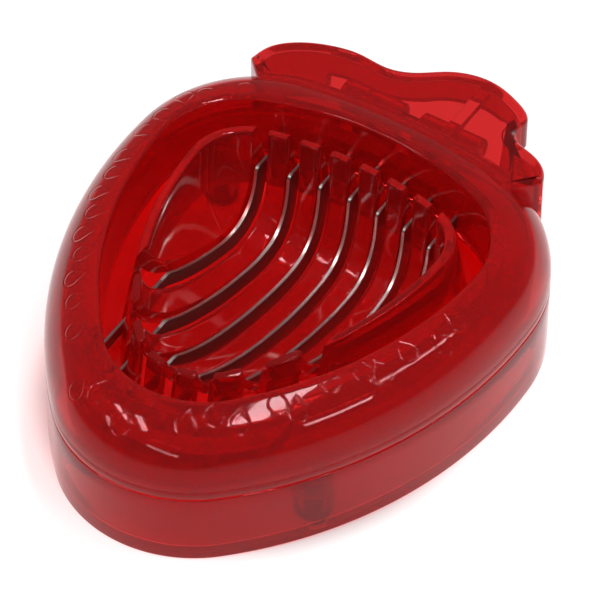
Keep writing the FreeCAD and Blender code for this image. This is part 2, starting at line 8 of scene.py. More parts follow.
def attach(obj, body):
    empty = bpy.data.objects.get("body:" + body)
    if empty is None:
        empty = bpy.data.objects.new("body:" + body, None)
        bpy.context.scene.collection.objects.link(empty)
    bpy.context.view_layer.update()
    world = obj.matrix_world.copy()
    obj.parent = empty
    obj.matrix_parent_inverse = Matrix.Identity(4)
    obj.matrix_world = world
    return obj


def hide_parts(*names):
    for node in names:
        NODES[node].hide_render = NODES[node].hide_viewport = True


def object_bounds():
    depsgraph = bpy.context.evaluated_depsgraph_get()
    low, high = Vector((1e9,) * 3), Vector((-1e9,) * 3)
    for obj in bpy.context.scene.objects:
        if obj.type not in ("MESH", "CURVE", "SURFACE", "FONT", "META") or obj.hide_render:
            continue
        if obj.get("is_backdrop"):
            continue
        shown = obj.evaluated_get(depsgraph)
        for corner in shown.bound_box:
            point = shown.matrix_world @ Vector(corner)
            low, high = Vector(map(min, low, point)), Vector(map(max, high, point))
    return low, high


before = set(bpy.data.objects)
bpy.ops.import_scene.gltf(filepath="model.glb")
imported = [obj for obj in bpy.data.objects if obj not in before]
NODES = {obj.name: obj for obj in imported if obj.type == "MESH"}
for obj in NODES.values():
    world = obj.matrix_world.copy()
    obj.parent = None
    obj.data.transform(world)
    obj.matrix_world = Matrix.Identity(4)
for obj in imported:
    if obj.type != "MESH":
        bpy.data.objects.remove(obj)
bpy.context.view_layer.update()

# Lengths are millimetres, in the part's frame; a finished piece is scaled to metres.
MM = 0.001

# The camera, as fitted to the photograph: angles in degrees.
CAMERA_AZIMUTH = 32.533
CAMERA_ELEVATION = 46.784
CAMERA_ROLL = 0.484
CAMERA_DISTANCE = 849.92
CAMERA_LENS = 284.93
CAMERA_SENSOR = 36.0
CAMERA_RANGE = (10.0, 20000.0)
LOOK_AT = (-4.306, 11.395, 0.0)

# past every side of the part, for tools that cut right through it, and a little below it
BEYOND = 60.0
UNDER = -1.0
# the small rounded edge of a moulding
SOFT_EDGE = 0.2
# edges bent by more than this many degrees stay sharp, on mouldings and on blades
SHARP_ANGLE = 32.0
BLADE_SHARP_ANGLE = 25.0

# Outlines seen from above: half width, reach to the back and to the front, and the radii of
# the back, corner, side and tip arcs.
BODY = np.array([41.29, 42.0, 53.5, 163.0, 27.8, 79.2, 24.7])
WELL = np.array([32.3, 30.1, 42.4, 58.7, 17.3, 71.8, 17.8])
# steps along each arc of half an outline
FINE_STEPS = (70, 90, 180, 90)
PLAIN_STEPS = (40, 50, 90, 50)

# Base
BASE_HEIGHT = 15.2
BASE_WALL = 2.0
FLOOR = 2.0
# rounding of the base's lower edge and of its top edge
BASE_ROUND = 0.6
LIP_ROUND = 0.25
# heights of the rows between them, outside and inside
BASE_ROWS = (4.0, 8.0, 12.0)
BASE_INNER_ROW = 8.0
POSTS = ((24.3, -29.2), (-24.3, -29.2), (30.5, 24.5), (-30.5, 24.5))
POST_RADIUS = 3.5
POST_TOP = 8.0
SCREW_RADIUS = 1.45
HEAD_RADIUS = 2.7
HEAD_HEIGHT = 1.8
HEAD_RECESS = 0.6
SCREW_LENGTH = 9.5
# clearance round a seated piece, and round one that is held closely
SEAT = 0.15
PLAY = 0.05

# Ring
RETAINER_BOTTOM = 15.5
RING_BOTTOM = 17.2
RING_RISE = 11.78
RING_WALL = 2.0
CREST_ROUND = 0.6
# lean of the shoulder in degrees at which the rounded crest starts, and the leans of the rows
# on the shoulder's inner face
CREST_LEAN = 86.5
INNER_LEANS = (88.0, 78.0, 66.0, 54.0, 42.0, 30.0, 18.0, 8.0)
# heights of the rows on the well's wall: in the well, going down, and behind it, going up
WELL_ROWS = (26.0, 23.5, 21.0, 18.5, 16.2)
BEHIND_ROWS = (20.0, 24.0)
# how far below the shoulder's surface the cheeks beside the hinge end
CHEEK_INSET = 0.05

# Bowl: the hollow's half width, its reach back and forward from BOWL_CENTRE, and its depth
BOWL = (24.5, 14.2, 42.2, 23.6)
BOWL_CENTRE = 7.2
BOWL_RIM = 28.3
BOWL_WALL = 1.6
# powers of the width, the back and the front, and the outline's radii as shares of the width
POWERS = (2.6, 3.6, 1.65)
BOWL_RADII = (2.85, 0.41, 2.7, 0.505)
FLANGE = (13.2, 15.0)
SKIRT_GAP = 3.0
SLOT = 2.4
PITCH = 6.0
# rounding of the rim and of the strips' edges
RIM_ROUND = 0.4
STRIP_ROUND = 0.35
# about the length of a strip, by which the points of its rounded ends are spaced
STRIP_LENGTH = 70.0
# how far two pieces of one moulding run into each other, and how far a slot cuts past the wall
OVERLAP = 0.1
SLOT_PAST = 0.6
BLADE_PLACES = tuple(PITCH * step for step in range(-3, 4))

# Blades: the upper curve is cut from a hollow of these sizes, the lower one from the bowl's,
# grown by BLADE_BITE
BLADE_EDGE = (25.5, 13.2, 42.2, 21.6)
BLADE_BITE = 2.0
BLADE_THICKNESS = 0.6
BLADE_BEVEL = 0.09
# lower and upper edge of the level ends
REAR_TANG = (17.4, 20.5)
FRONT_TANG = (15.7, 18.2)
TANG_GRIP = 2.4
HOOK_TOP = 20.5
HOOK_OVERLAP = 0.3
# points along a blade, and how many on each side the rounding of its bends takes in
BLADE_POINTS = 401
BLADE_EASING = 5
# how far the painted highlight of the sharpened edge runs on past the front bend, and the part
# of a face's normal across the blade under which the face is one of the narrow ones
EDGE_HIGHLIGHT_PAST = 2.2
NARROW_FACE = 0.8

# Hinge: distance back and height of its axis
HINGE = (41.2, 21.5)
KNUCKLE = 2.8
KNUCKLES = (2.0, 9.0)
EARS = (9.3, 14.0)
PIN_RADIUS = 1.25
PIN_BEVEL = 0.3
# where the pin's bore ends on each side, past the ears
BORE_END = 20.0
# radius round the axis that the base and the bowl leave free for the frame to swing through
SWING = 7.2
KNUCKLE_GAP = 0.3
GAP_FRONT = HINGE[0] - KNUCKLE - KNUCKLE_GAP

# Leaf cap
LEAF_POINTS = (
    (-30.3, 35.1), (-29.4, 38.9), (-26.2, 42.6), (-20.3, 45.6), (-13.8, 46.7), (-8.2, 46.4),
    (-3.8, 47.9), (1.4, 51.6), (8.4, 53.6), (15.4, 51.9), (19.6, 48.0), (19.0, 44.6),
    (21.2, 42.9), (25.0, 41.7), (28.6, 39.2), (29.8, 36.7),
)
LEAF_FRONT = ((24.2, 30.2), (-24.2, 29.0))
CAP_TOP = 28.0
CAP_WALL = 1.8
CAP_ROUND = 1.2
CAP_INNER_ROUND = 0.5
# heights of the rows up the cap's wall, and up the wall of its hollow
CAP_ROWS = (16.5, 19.0, 21.5, 24.0)
HOLLOW_ROWS = (10.0, 20.0)
# the cut under the cap that clears the base's back wall when open: half width and top
CAP_CUT = (20.0, 21.0)
# rib under the cap's roof: place across, width and depth
VEIN = (9.0, 2.2, 1.4)

# Combs and screws
COMB_WIDTH = 3.6
COMB_TOP = 21.8
COMB_OVERHANG = 2.6
THREAD_PITCH = 1.1
THREAD_DEPTH = 0.3
# the screw's point: length, and how much slimmer its end is
POINT = (0.8, 0.5)
# the head's edge as (how far inside its radius, how far above its underside)
HEAD_EDGE = ((0.4, 0.0), (0.1, 0.15), (0.0, 0.5), (0.0, HEAD_HEIGHT - 0.1), (0.1, HEAD_HEIGHT))
# the crossed recess in the head: half length and half width of an arm, and depth
RECESS = (1.5, 0.3, 1.1)


# Camera

def direction(azimuth, elevation):
    """The unit vector towards a place round the object: azimuth 0 is the tip's side."""
    turn, rise = math.radians(azimuth), math.radians(elevation)
    return Vector((math.sin(turn) * math.cos(rise), -math.cos(turn) * math.cos(rise),
                   math.sin(rise)))


def make_camera():
    """Looks at LOOK_AT from the photograph's angle. Its axes are the level direction and the
    one above it, both turned by CAMERA_ROLL, and the direction back from the object."""
    data = bpy.data.cameras.new("photo_camera")
    data.sensor_width = CAMERA_SENSOR
    data.lens = CAMERA_LENS
    data.clip_start, data.clip_end = (limit * MM for limit in CAMERA_RANGE)
    camera = bpy.data.objects.new("photo_camera", data)
    bpy.context.scene.collection.objects.link(camera)
    back = direction(CAMERA_AZIMUTH, CAMERA_ELEVATION)
    turn = math.radians(CAMERA_AZIMUTH)
    level = Vector((math.cos(turn), math.sin(turn), 0.0))
    above = back.cross(level)
    roll = math.radians(CAMERA_ROLL)
    right = level * math.cos(roll) + above * math.sin(roll)
    upward = back.cross(right)
    place = Vector(LOOK_AT) * MM + back * CAMERA_DISTANCE * MM
    axes = Matrix((right, upward, back)).transposed().to_4x4()
    camera.matrix_world = Matrix.Translation(place) @ axes
    bpy.context.scene.camera = camera


# Meshes from grids

def solid(name, grid, ring=False):
    """A closed piece from a grid of points, rows by columns. Columns run round and meet; rows
    meet too in a ring, and otherwise the first and the last row are closed by flat faces."""
    rows, columns = grid.shape[:2]
    index = np.arange(rows * columns).reshape(rows, columns)
    upper = index if ring else index[:-1]
    lower = np.roll(index, -1, 0) if ring else index[1:]
    quads = np.stack([upper, np.roll(upper, -1, 1), np.roll(lower, -1, 1), lower], -1)
    quads = quads.reshape(-1, 4)
    points = grid.reshape(-1, 3)
    ends = [] if ring else [index[0][::-1], index[-1]]
    volume = quad_volume(points, quads) + sum(fan_volume(points, end) for end in ends)
    faces = quads.tolist() + [end.tolist() for end in ends]
    mesh = bpy.data.meshes.new(name)
    mesh.from_pydata(points.tolist(), [], faces)
    if volume < 0:
        mesh.flip_normals()
    piece = bpy.data.objects.new(name, mesh)
    bpy.context.scene.collection.objects.link(piece)
    return piece


def quad_volume(points, quads):
    """Six times the volume under the quads: the sum of a.(b x c) + a.(c x d)."""
    a, b, c, d = (points[quads[:, k]] for k in range(4))
    return float(np.sum(a * (np.cross(b, c) + np.cross(c, d))))


def fan_volume(points, corners):
    """The same for a flat face, cut into triangles from its first corner."""
    first = points[corners[0]]
    return float(np.sum(first * np.cross(points[corners[1:-1]], points[corners[2:]])))


def combine(body, tool, how):
    """Joins a tool to a body (UNION), cuts it off (DIFFERENCE) or keeps what both share
    (INTERSECT). Both are closed, and the tool is used up."""
    change = body.modifiers.new("combine", "BOOLEAN")
    change.operation = how
    change.solver = "MANIFOLD"
    change.object = tool
    evaluated = body.evaluated_get(bpy.context.evaluated_depsgraph_get())
    mesh = bpy.data.meshes.new_from_object(evaluated)
    body.modifiers.clear()
    body.data = mesh
    bpy.data.objects.remove(tool)
    return body


def finish(piece, material, body, *nodes, sharp=SHARP_ANGLE):
    """Scales a piece to metres, smooths it up to a sharp angle and puts it in the nodes' place."""
    piece.data.transform(Matrix.Scale(MM, 4))
    piece.data.polygons.foreach_set("use_smooth", np.ones(len(piece.data.polygons), bool))
    piece.data.set_sharp_from_angle(angle=math.radians(sharp))
    piece.data.materials.clear()
    piece.data.materials.append(material)
    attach(piece, body)
    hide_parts(*nodes)


# Simple tools

def block(x0, x1, y0, y1, z0, z1):
    """An upright box."""
    floor = [(x0, y0), (x1, y0), (x1, y1), (x0, y1)]
    grid = np.array([[(x, y, z) for x, y in floor] for z in (z0, z1)], float)
    return solid("block", grid)


def turned(profile, origin, axis, steps=48):
    """A profile of (radius, distance along the axis) pairs turned about a line."""
    along = np.array(axis, float)
    side = np.array([0.0, 1.0, 0.0]) if abs(along[1]) < 0.5 else np.array([1.0, 0.0, 0.0])
    across = np.cross(along, side)
    angle = np.linspace(0, 2 * np.pi, steps, endpoint=False)
    spoke = np.cos(angle)[:, None] * side + np.sin(angle)[:, None] * across
    radius, distance = np.array(profile, float).T
    grid = radius[:, None, None] * spoke + distance[:, None, None] * along + np.array(origin)
    return solid("turned", grid)


def rod_across(radius, x0, x1, edge=0.0, steps=64):
    """A bar along X about the hinge axis, with its end edges bevelled."""
    profile = [(radius, x0), (radius, x1)]
    if edge:
        profile = [(radius - edge, x0), (radius, x0 + edge), (radius, x1 - edge),
                   (radius - edge, x1)]
    return turned(profile, (0, *HINGE), (1, 0, 0), steps)


def post(radius, place, z0, z1, edge=0.0):
    """An upright bar about a place, with its top edge bevelled."""
    profile = [(radius, z0), (radius, z1)]
    if edge:
        profile = [(radius, z0), (radius, z1 - edge), (radius - edge, z1)]
    return turned(profile, (*place, 0), (0, 0, 1))


# Strawberry outlines

def arc_centres(values):
    """Centres of the back, corner, side and tip arcs, one row per outline. Arcs that touch
    smoothly have their centres as far apart as their radii differ."""
    half, back, front, r_back, r_corner, r_side, r_tip = values.T
    zero = np.zeros_like(half)
    c_back = np.stack([zero, back - r_back], -1)
    c_tip = np.stack([zero, r_tip - front], -1)
    across = half - r_corner
    c_corner = np.stack([across, c_back[:, 1] + np.sqrt((r_back - r_corner) ** 2 - across ** 2)],
                        -1)
    to_corner, to_tip = r_side - r_corner, r_side - r_tip
    span = c_tip - c_corner
    length = np.hypot(span[:, 0], span[:, 1])
    along = (to_corner ** 2 - to_tip ** 2 + length ** 2) / (2 * length)
    aside = np.sqrt(to_corner ** 2 - along ** 2)
    unit = span / length[:, None]
    normal = np.stack([unit[:, 1], -unit[:, 0]], -1)
    c_side = c_corner + unit * along[:, None] + normal * aside[:, None]
    return c_back, c_corner, c_side, c_tip


def heading(step):
    """The angle of each step: the arc tangent of its second part over its first."""
    return np.arctan2(step[:, 1], step[:, 0])


def outlines(values, steps=PLAIN_STEPS):
    """Closed outlines, clockwise from the middle of the back, one per row of seven values.
    Each half is four tangent arcs, centre + radius (cos, sin); the other half mirrors it."""
    values = np.atleast_2d(values)
    c_back, c_corner, c_side, c_tip = arc_centres(values)
    quarter = np.full(len(values), np.pi / 2)
    joints = [quarter, heading(c_corner - c_back), heading(c_corner - c_side),
              heading(c_tip - c_side), -quarter]
    parts = []
    for number, (centre, count) in enumerate(zip((c_back, c_corner, c_side, c_tip), steps)):
        start, end = joints[number], joints[number + 1]
        turn = start[:, None] + (end - start)[:, None] * np.arange(count) / count
        spoke = np.stack([np.cos(turn), np.sin(turn)], -1)
        parts.append(centre[:, None] + values[:, 3 + number, None, None] * spoke)
    right = np.concatenate(parts, 1)
    tip = np.stack([0 * quarter, -values[:, 2]], -1)[:, None]
    left = right[:, :0:-1] * (-1, 1)
    return np.concatenate([right, tip, left], 1)


def stacked(rows, steps=PLAIN_STEPS):
    """A grid from (outline values, height) pairs."""
    flat = outlines(np.array([values for values, _ in rows]), steps)
    height = np.array([z for _, z in rows], float)
    return np.dstack([flat, np.broadcast_to(height[:, None], flat.shape[:2])])


def mixed(share, inner=WELL, outer=BODY):
    """Values between two outlines: share 0 gives the inner one, share 1 the outer one."""
    return inner + (outer - inner) * share


def rounded(values, height, radius, start, end, steps=4):
    """Rows that round an edge: an arc of a circle in the profile, whose centre lies at the
    given outline and height and whose radius points outwards at angle 0 and up at 90."""
    rows = []
    for angle in np.radians(np.linspace(start, end, steps + 1)):
        rows.append((values + radius * math.cos(angle), height + radius * math.sin(angle)))
    return rows


# Ring: the blade frame's hollow shoulder, with strawberry seeds pressed into it

SEED_RADIUS = 1.65
SEED_LENGTH = 2.75
# how deep the seed marks lie, and how softly their walls fall
SEED_DEPTH = 0.03
SEED_SOFTNESS = 0.075
# one unit of the seed map, so that its values stay between 0 and 1, and how far off the
# shoulder's surface a point may lie and still be on the map
SEED_MAP = 12.0
SEED_MAP_DEPTH = 2.0
LEAN_STEPS = 62
# seeds as (distance along the body's outline from the middle of the back, lean of the shoulder
# there in degrees): measured on the photograph where it shows them, and in the same two
# alternating rows elsewhere
SEEN_SEEDS = (
    (70.3, 65), (76.6, 55), (83.5, 69), (91.0, 63), (94.4, 73), (101.9, 77), (109.5, 60),
    (113.6, 73), (121.1, 61), (126.6, 72), (132.0, 64), (143.7, 48), (151.2, 58), (156.2, 44),
    (168.3, 59), (175.9, 63), (217.8, 64), (226.0, 65), (232.9, 71), (240.4, 65), (246.9, 75),
    (258.3, 78),
)
PLAIN_SEEDS = tuple((182.4 + 6.0 * step, (60, 67)[step % 2]) for step in range(6))
SEEDS = SEEN_SEEDS + PLAIN_SEEDS


def shoulder_rows(inset, leans):
    """Quarter of an ellipse from the body's outline up to the well's, moved in by inset."""
    inner, outer = WELL + inset, BODY - inset
    return [(mixed(math.cos(lean), inner, outer), RING_BOTTOM + (RING_RISE - inset) *
             math.sin(lean)) for lean in np.radians(leans)]


def teardrop(across, along):
    """Distance outside a seed's outline: a circle of SEED_RADIUS about the origin with two
    tangents that meet at SEED_LENGTH; it is negative inside."""
    slope = SEED_RADIUS / SEED_LENGTH
    level = math.sqrt(1 - slope ** 2)
    side = np.abs(across)
    to_circle = np.hypot(side, along) - SEED_RADIUS
    to_tangent = side * level + along * slope - SEED_RADIUS
    return np.where(along * level < side * slope, to_circle, to_tangent)


def seed_frames(grid, leans):
    """The middle of each seed on the shoulder, with the unit directions across and up it."""
    base = grid[0]
    steps = np.linalg.norm(np.roll(base, -1, 0) - base, axis=1)
    travelled = np.concatenate([[0.0], np.cumsum(steps)[:-1]])
    frames = []
    for place, lean in SEEDS:
        column = int(np.argmin(np.abs(travelled - place)))
        line = int(np.argmin(np.abs(np.array(leans) - lean)))
        up = grid[line + 2, column] - grid[line - 2, column]
        up = up / np.linalg.norm(up)
        side = grid[line, (column + 2) % grid.shape[1]] - grid[line, column - 2]
        side = side - up * (side @ up)
        frames.append((grid[line, column], side / np.linalg.norm(side), up))
    return tuple(np.array(part) for part in zip(*frames))


def seed_relief(grid, frames):
    """How far each point of the shoulder sinks: a seed's face lies SEED_DEPTH lower, and its
    walls fall as 1 / (1 + e to the power of distance over softness)."""
    depth = np.zeros(grid.shape[:2])
    for centre, side, up in zip(*frames):
        away = grid - centre
        near = np.linalg.norm(away, axis=2) < 2 * SEED_LENGTH
        distance = teardrop(away[near] @ side, away[near] @ up)
        depth[near] += SEED_DEPTH / (1 + np.exp(distance / SEED_SOFTNESS))
    return depth


def map_seeds(piece, frames):
    """A UV map that holds, at each face corner, where it lies across and along its nearest
    seed, in units of SEED_MAP about the map's middle."""
    mesh = piece.data
    points = np.zeros(len(mesh.vertices) * 3)
    mesh.vertices.foreach_get("co", points)
    points = points.reshape(-1, 3)
    corners = np.zeros(len(mesh.loops), int)
    mesh.loops.foreach_get("vertex_index", corners)
    sizes = np.zeros(len(mesh.polygons), int)
    mesh.polygons.foreach_get("loop_total", sizes)
    middles = np.zeros(len(mesh.polygons) * 3)
    mesh.polygons.foreach_get("center", middles)
    centres, sides, ups = frames
    gaps = np.linalg.norm(middles.reshape(-1, 1, 3) - centres, axis=2)
    nearest = np.repeat(np.argmin(gaps, axis=1), sizes)
    away = points[corners] - centres[nearest]
    across = np.sum(away * sides[nearest], axis=1)
    along = np.sum(away * ups[nearest], axis=1)
    lifted = np.linalg.norm(away - across[:, None] * sides[nearest] - along[:, None] *
                            ups[nearest], axis=1)
    across = np.where(lifted < SEED_MAP_DEPTH, across, SEED_MAP)
    values = np.stack([across, along], -1) / SEED_MAP + 0.5
    layer = mesh.uv_layers.new(name="seed_map")
    layer.data.foreach_set("uv", values.clip(0, 1).ravel())


def grid_normals(grid):
    """Unit normals of a grid whose columns run round: the steps up crossed with those round."""
    along = np.gradient(grid, axis=0)
    around = np.roll(grid, -1, 1) - np.roll(grid, 1, 1)
    normal = np.cross(along, around)
    return normal / np.linalg.norm(normal, axis=2, keepdims=True)


def blade_ring():
    """The hollow ring: its profile runs up the shoulder, over the crest, down the well, and back
    inside, one wall away. The hinge's notch, ears and bore and the blades' slits follow."""
    leans = np.linspace(0.0, CREST_LEAN, LEAN_STEPS)
    outer = stacked(shoulder_rows(0.0, leans), FINE_STEPS)
    frames = seed_frames(outer, leans)
    normal = grid_normals(outer)
    outer = outer - normal * np.sign(normal[-1, 0, 2]) * seed_relief(outer, frames)[:, :, None]
    top, edge = outer[-1, 0, 2], SOFT_EDGE
    rows = rounded(WELL + CREST_ROUND, top - CREST_ROUND, -CREST_ROUND, -67.5, 0.0, 3)
    rows += [(WELL, z) for z in WELL_ROWS]
    rows += rounded(WELL + edge, RETAINER_BOTTOM + edge, -edge, 0.0, 90.0, 3)
    rows += rounded(WELL + RING_WALL - edge, RETAINER_BOTTOM + edge, edge, -90.0, 0.0, 2)
    rows += [(WELL + RING_WALL, z) for z in BEHIND_ROWS]
    rows += shoulder_rows(RING_WALL, INNER_LEANS)
    rows += [(BODY - RING_WALL, RING_BOTTOM)]
    rows += rounded(BODY - edge, RING_BOTTOM + edge, edge, -90.0, -22.5, 3)
    ring = solid("ring_with_seeds", np.concatenate([outer, stacked(rows, FINE_STEPS)]), True)
    half = EARS[0] + RING_WALL
    cheeks = solid("notch_cheeks", stacked(shoulder_rows(CHEEK_INSET, np.linspace(0, 90, 24))))
    cheeks = combine(cheeks, block(-half, half, GAP_FRONT - RING_WALL, BEYOND, 0, BEYOND),
                     "INTERSECT")
    ring = combine(ring, cheeks, "UNION")
    ring = combine(ring, block(-EARS[0], EARS[0], GAP_FRONT, BEYOND, 0, BEYOND), "DIFFERENCE")
    for side in (-1, 1):
        ends = sorted((side * EARS[0], side * EARS[1]))
        ring = combine(ring, rod_across(KNUCKLE, *ends), "UNION")
    ring = combine(ring, rod_across(PIN_RADIUS + PLAY, -BORE_END, BORE_END), "DIFFERENCE")
    outside = WELL + RING_WALL + PLAY
    half = BLADE_THICKNESS / 2 + PLAY
    for x in BLADE_PLACES:
        for y0, y1, top in ((0, BEYOND, REAR_TANG[1]), (-BEYOND, 0, FRONT_TANG[1])):
            slit = stacked([(outside, RETAINER_BOTTOM - 0.5), (outside, top + PLAY)])
            slit = combine(solid("slit", slit), block(x - half, x + half, y0, y1, 0, BEYOND),
                           "INTERSECT")
            ring = combine(ring, slit, "DIFFERENCE")
    map_seeds(ring, frames)
    return ring


# Base

def base_body():
    """The base: its profile runs up the outside, over the lip and down the inside to the floor,
    with rounded edges. Posts and knuckles are joined to it, and their bores are cut."""
    edge, lip, low = SOFT_EDGE, LIP_ROUND, BASE_ROUND
    rows = rounded(BODY - low, low, low, -90.0, 0.0, 6)
    rows += [(BODY, z) for z in BASE_ROWS]
    rows += rounded(BODY - lip, BASE_HEIGHT - lip, lip, 0.0, 90.0, 4)
    inner = BODY - BASE_WALL
    rows += rounded(inner + lip, BASE_HEIGHT - lip, -lip, -90.0, 0.0, 4)
    rows += [(inner, BASE_INNER_ROW)]
    rows += rounded(inner - low, FLOOR + low, low, 0.0, -90.0, 4)
    base = solid("base_body", stacked(rows, FINE_STEPS))
    base = combine(base, rod_across(SWING, -BEYOND, BEYOND, steps=96), "DIFFERENCE")
    for place in POSTS:
        base = combine(base, post(POST_RADIUS, place, FLOOR / 2, POST_TOP, edge), "UNION")
        base = combine(base, post(SCREW_RADIUS + SEAT, place, UNDER, BEYOND), "DIFFERENCE")
        base = combine(base, post(HEAD_RADIUS + SEAT, place, UNDER, HEAD_RECESS + HEAD_HEIGHT),
                       "DIFFERENCE")
    back = BODY[1] - PLAY
    front = BODY[1] - BASE_WALL + PLAY
    for side in (-1, 1):
        ends = sorted((side * KNUCKLES[0], side * KNUCKLES[1]))
        base = combine(base, block(*ends, front, back, FLOOR / 2, HINGE[1]), "UNION")
        base = combine(base, rod_across(KNUCKLE, *ends, edge), "UNION")
    return combine(base, rod_across(PIN_RADIUS + PLAY, -BORE_END, BORE_END), "DIFFERENCE")


def retainer_plate():
    """A flat ring, from the well's wall to the body's outline, with a notch for the hinge."""
    inner = WELL + RING_WALL + PLAY
    edge = SOFT_EDGE
    rows = rounded(BODY - edge, RETAINER_BOTTOM + edge, edge, -90.0, 0.0, 3)
    rows += rounded(BODY - edge, RING_BOTTOM - edge, edge, 0.0, 90.0, 3)
    rows += [(inner, RING_BOTTOM), (inner, RETAINER_BOTTOM)]
    plate = solid("retainer_plate", stacked(rows, FINE_STEPS), True)
    half = EARS[0]
    return combine(plate, block(-half, half, GAP_FRONT, BEYOND, 0, BEYOND), "DIFFERENCE")


# Bowl

def fall(share, power):
    """A superellipse, (1 - share to the power) to one over the power: 1 at the rim, 0 at the
    deepest point."""
    return np.maximum(1 - share ** power, 0.0) ** (1 / power)


def bowl_values(share, sizes, grow=0.0):
    """Outline values at a share of the depth, each its size times the superellipse's fall;
    sizes are half width, back reach, front reach and depth."""
    share = np.atleast_1d(share)
    half = (sizes[0] + grow) * fall(share, POWERS[0])
    back = BOWL_CENTRE + (sizes[1] + grow) * fall(share, POWERS[1])
    front = (sizes[2] + grow) * fall(share, POWERS[2]) - BOWL_CENTRE
    radii = [factor * half for factor in BOWL_RADII]
    return np.stack([half, back, front, *radii], -1)


def bowl_height(share, sizes, grow=0.0):
    """The height at a share of the depth, counted down from the rim."""
    return BOWL_RIM - (sizes[3] + grow) * share


def section_at(x, sizes, grow=0.0, levels=500):
    """The hollow's section in the upright plane at x: points (y, z) from the rear rim down and
    up to the front rim. At each level y is the centre of the outline's arc at x, plus or minus
    the arc's height over it."""
    x = abs(x)
    deepest = fall(x / (sizes[0] + grow), POWERS[0])
    share = deepest * np.sin(np.linspace(0, np.pi / 2, levels))[:-1]
    values = bowl_values(share, sizes, grow)
    r_back, r_corner, r_side, r_tip = values[:, 3:].T
    c_back, c_corner, c_side, c_tip = arc_centres(values)

    def lift(centre, radius):
        """An arc's height over its centre at x: the root of radius squared less the step
        aside squared."""
        return np.sqrt(np.maximum(radius ** 2 - (x - centre[:, 0]) ** 2, 0.0))

    joint_back = r_back * np.cos(heading(c_corner - c_back))
    joint_side = c_side[:, 0] + r_side * np.cos(heading(c_corner - c_side))
    joint_tip = r_tip * np.cos(heading(c_tip - c_side))
    rear = np.where(x <= joint_back, c_back[:, 1] + lift(c_back, r_back),
                    c_corner[:, 1] + lift(c_corner, r_corner))
    front = np.where(x <= joint_tip, c_tip[:, 1] - lift(c_tip, r_tip),
                     np.where(x <= joint_side, c_side[:, 1] - lift(c_side, r_side),
                              c_corner[:, 1] - lift(c_corner, r_corner)))
    height = bowl_height(share, sizes, grow)
    return np.concatenate([np.stack([rear, height], -1), np.stack([front, height], -1)[::-1]])


def resample(path, stations):
    """Points of a path at shares of its length, on the straight lines between its points."""
    length = np.concatenate([[0.0], np.cumsum(np.linalg.norm(np.diff(path, axis=0), axis=1))])
    wanted = np.asarray(stations) * length[-1]
    return np.stack([np.interp(wanted, length, path[:, k]) for k in range(path.shape[1])], -1)


def eased(path, reach):
    """A path of even steps whose bends are rounded: each point is the mean of those within
    reach, which shrinks towards the ends so that they stay."""
    count = len(path)
    sums = np.concatenate([np.zeros((1, path.shape[1])), np.cumsum(path, axis=0)])
    index = np.arange(count)
    width = np.minimum(reach, np.minimum(index, count - 1 - index))
    return (sums[index + width + 1] - sums[index - width]) / (2 * width + 1)[:, None]


def bowl_strip(x0, x1):
    """The bowl's wall between two slots: a rounded oblong, width by wall, carried along the
    wall's middle section from the rear rim to the front rim."""
    edge, length = STRIP_ROUND, STRIP_LENGTH
    middle, half = (x0 + x1) / 2, (x1 - x0) / 2
    thick = BOWL_WALL / 2
    corner = np.radians(np.linspace(0, 90, 5))
    quadrant = np.stack([half - edge + edge * np.sin(corner), thick - edge + edge *
                         np.cos(corner)], -1)
    flat = np.linspace(-half + edge, half - edge, 7)[1:-1]
    top = np.stack([flat, np.full(5, thick)], -1)
    right = np.concatenate([quadrant, quadrant[::-1] * (1, -1)])
    left = np.concatenate([quadrant * (-1, -1), quadrant[::-1] * (-1, 1)])
    oblong = np.concatenate([top, right, top[::-1] * (1, -1), left])
    round_off = np.array([0.0, 0.04, 0.11, 0.22, edge])
    shares = np.linspace(0, 1, 150)
    stations = np.concatenate([round_off / length, shares[1:-1], 1 - round_off[::-1] / length])
    shrink = edge - np.sqrt(np.maximum(edge ** 2 - (edge - np.minimum(stations, 1 - stations) *
                                                    length).clip(0) ** 2, 0))
    grid = np.zeros((len(stations), len(oblong), 3))
    for number, (across, up) in enumerate(oblong):
        x = middle + across
        step = 0.02
        here, beside = (np.insert(resample(section_at(place, BOWL, thick), stations), 0, place, 1)
                        for place in (x - step, x + step))
        tangent = np.gradient((here + beside) / 2, axis=0)
        normal = np.cross(tangent, beside - here)
        normal = normal / np.linalg.norm(normal, axis=1)[:, None]
        normal = normal * np.sign(normal[len(normal) // 2, 2])
        inwards = np.sign(across) * np.minimum(shrink, abs(across))
        depth = up - np.sign(up) * np.minimum(shrink, abs(up))
        grid[:, number] = (here + beside) / 2 + normal * depth[:, None]
        grid[:, number, 0] -= inwards
    return solid("bowl_strip", grid)


def bowl_cup(sizes, grow):
    """The space inside the hollow grown by grow, up to the rim."""
    share = np.sin(np.radians(np.linspace(0, 87.5, 70)))
    rows = list(zip(bowl_values(share, sizes, grow), bowl_height(share, sizes, grow)))
    return solid("cup", stacked(rows))


def bowl_side(sign):
    """One side wall of the bowl beyond the outermost slot, with a rounded rim."""
    share = np.sin(np.radians(np.linspace(87.5, 2.0, 60)))
    edge = RIM_ROUND
    inner = list(zip(bowl_values(share, BOWL), bowl_height(share, BOWL)))
    rim = rounded(bowl_values(0.0, BOWL, edge)[0], BOWL_RIM - edge, -edge, 0.0, -90.0, 5)
    rim += rounded(bowl_values(0.0, BOWL, BOWL_WALL - edge)[0], BOWL_RIM - edge, edge, 90.0, 0.0, 5)
    outer = list(zip(bowl_values(share, BOWL, BOWL_WALL), bowl_height(share, BOWL, BOWL_WALL)))
    wall = solid("bowl_side", stacked(inner + rim + outer[::-1]))
    first = BLADE_PLACES[-1] + SLOT / 2
    ends = sorted((sign * first, sign * BEYOND))
    return combine(wall, block(*ends, -BEYOND, BEYOND, FLOOR, BEYOND), "INTERSECT")


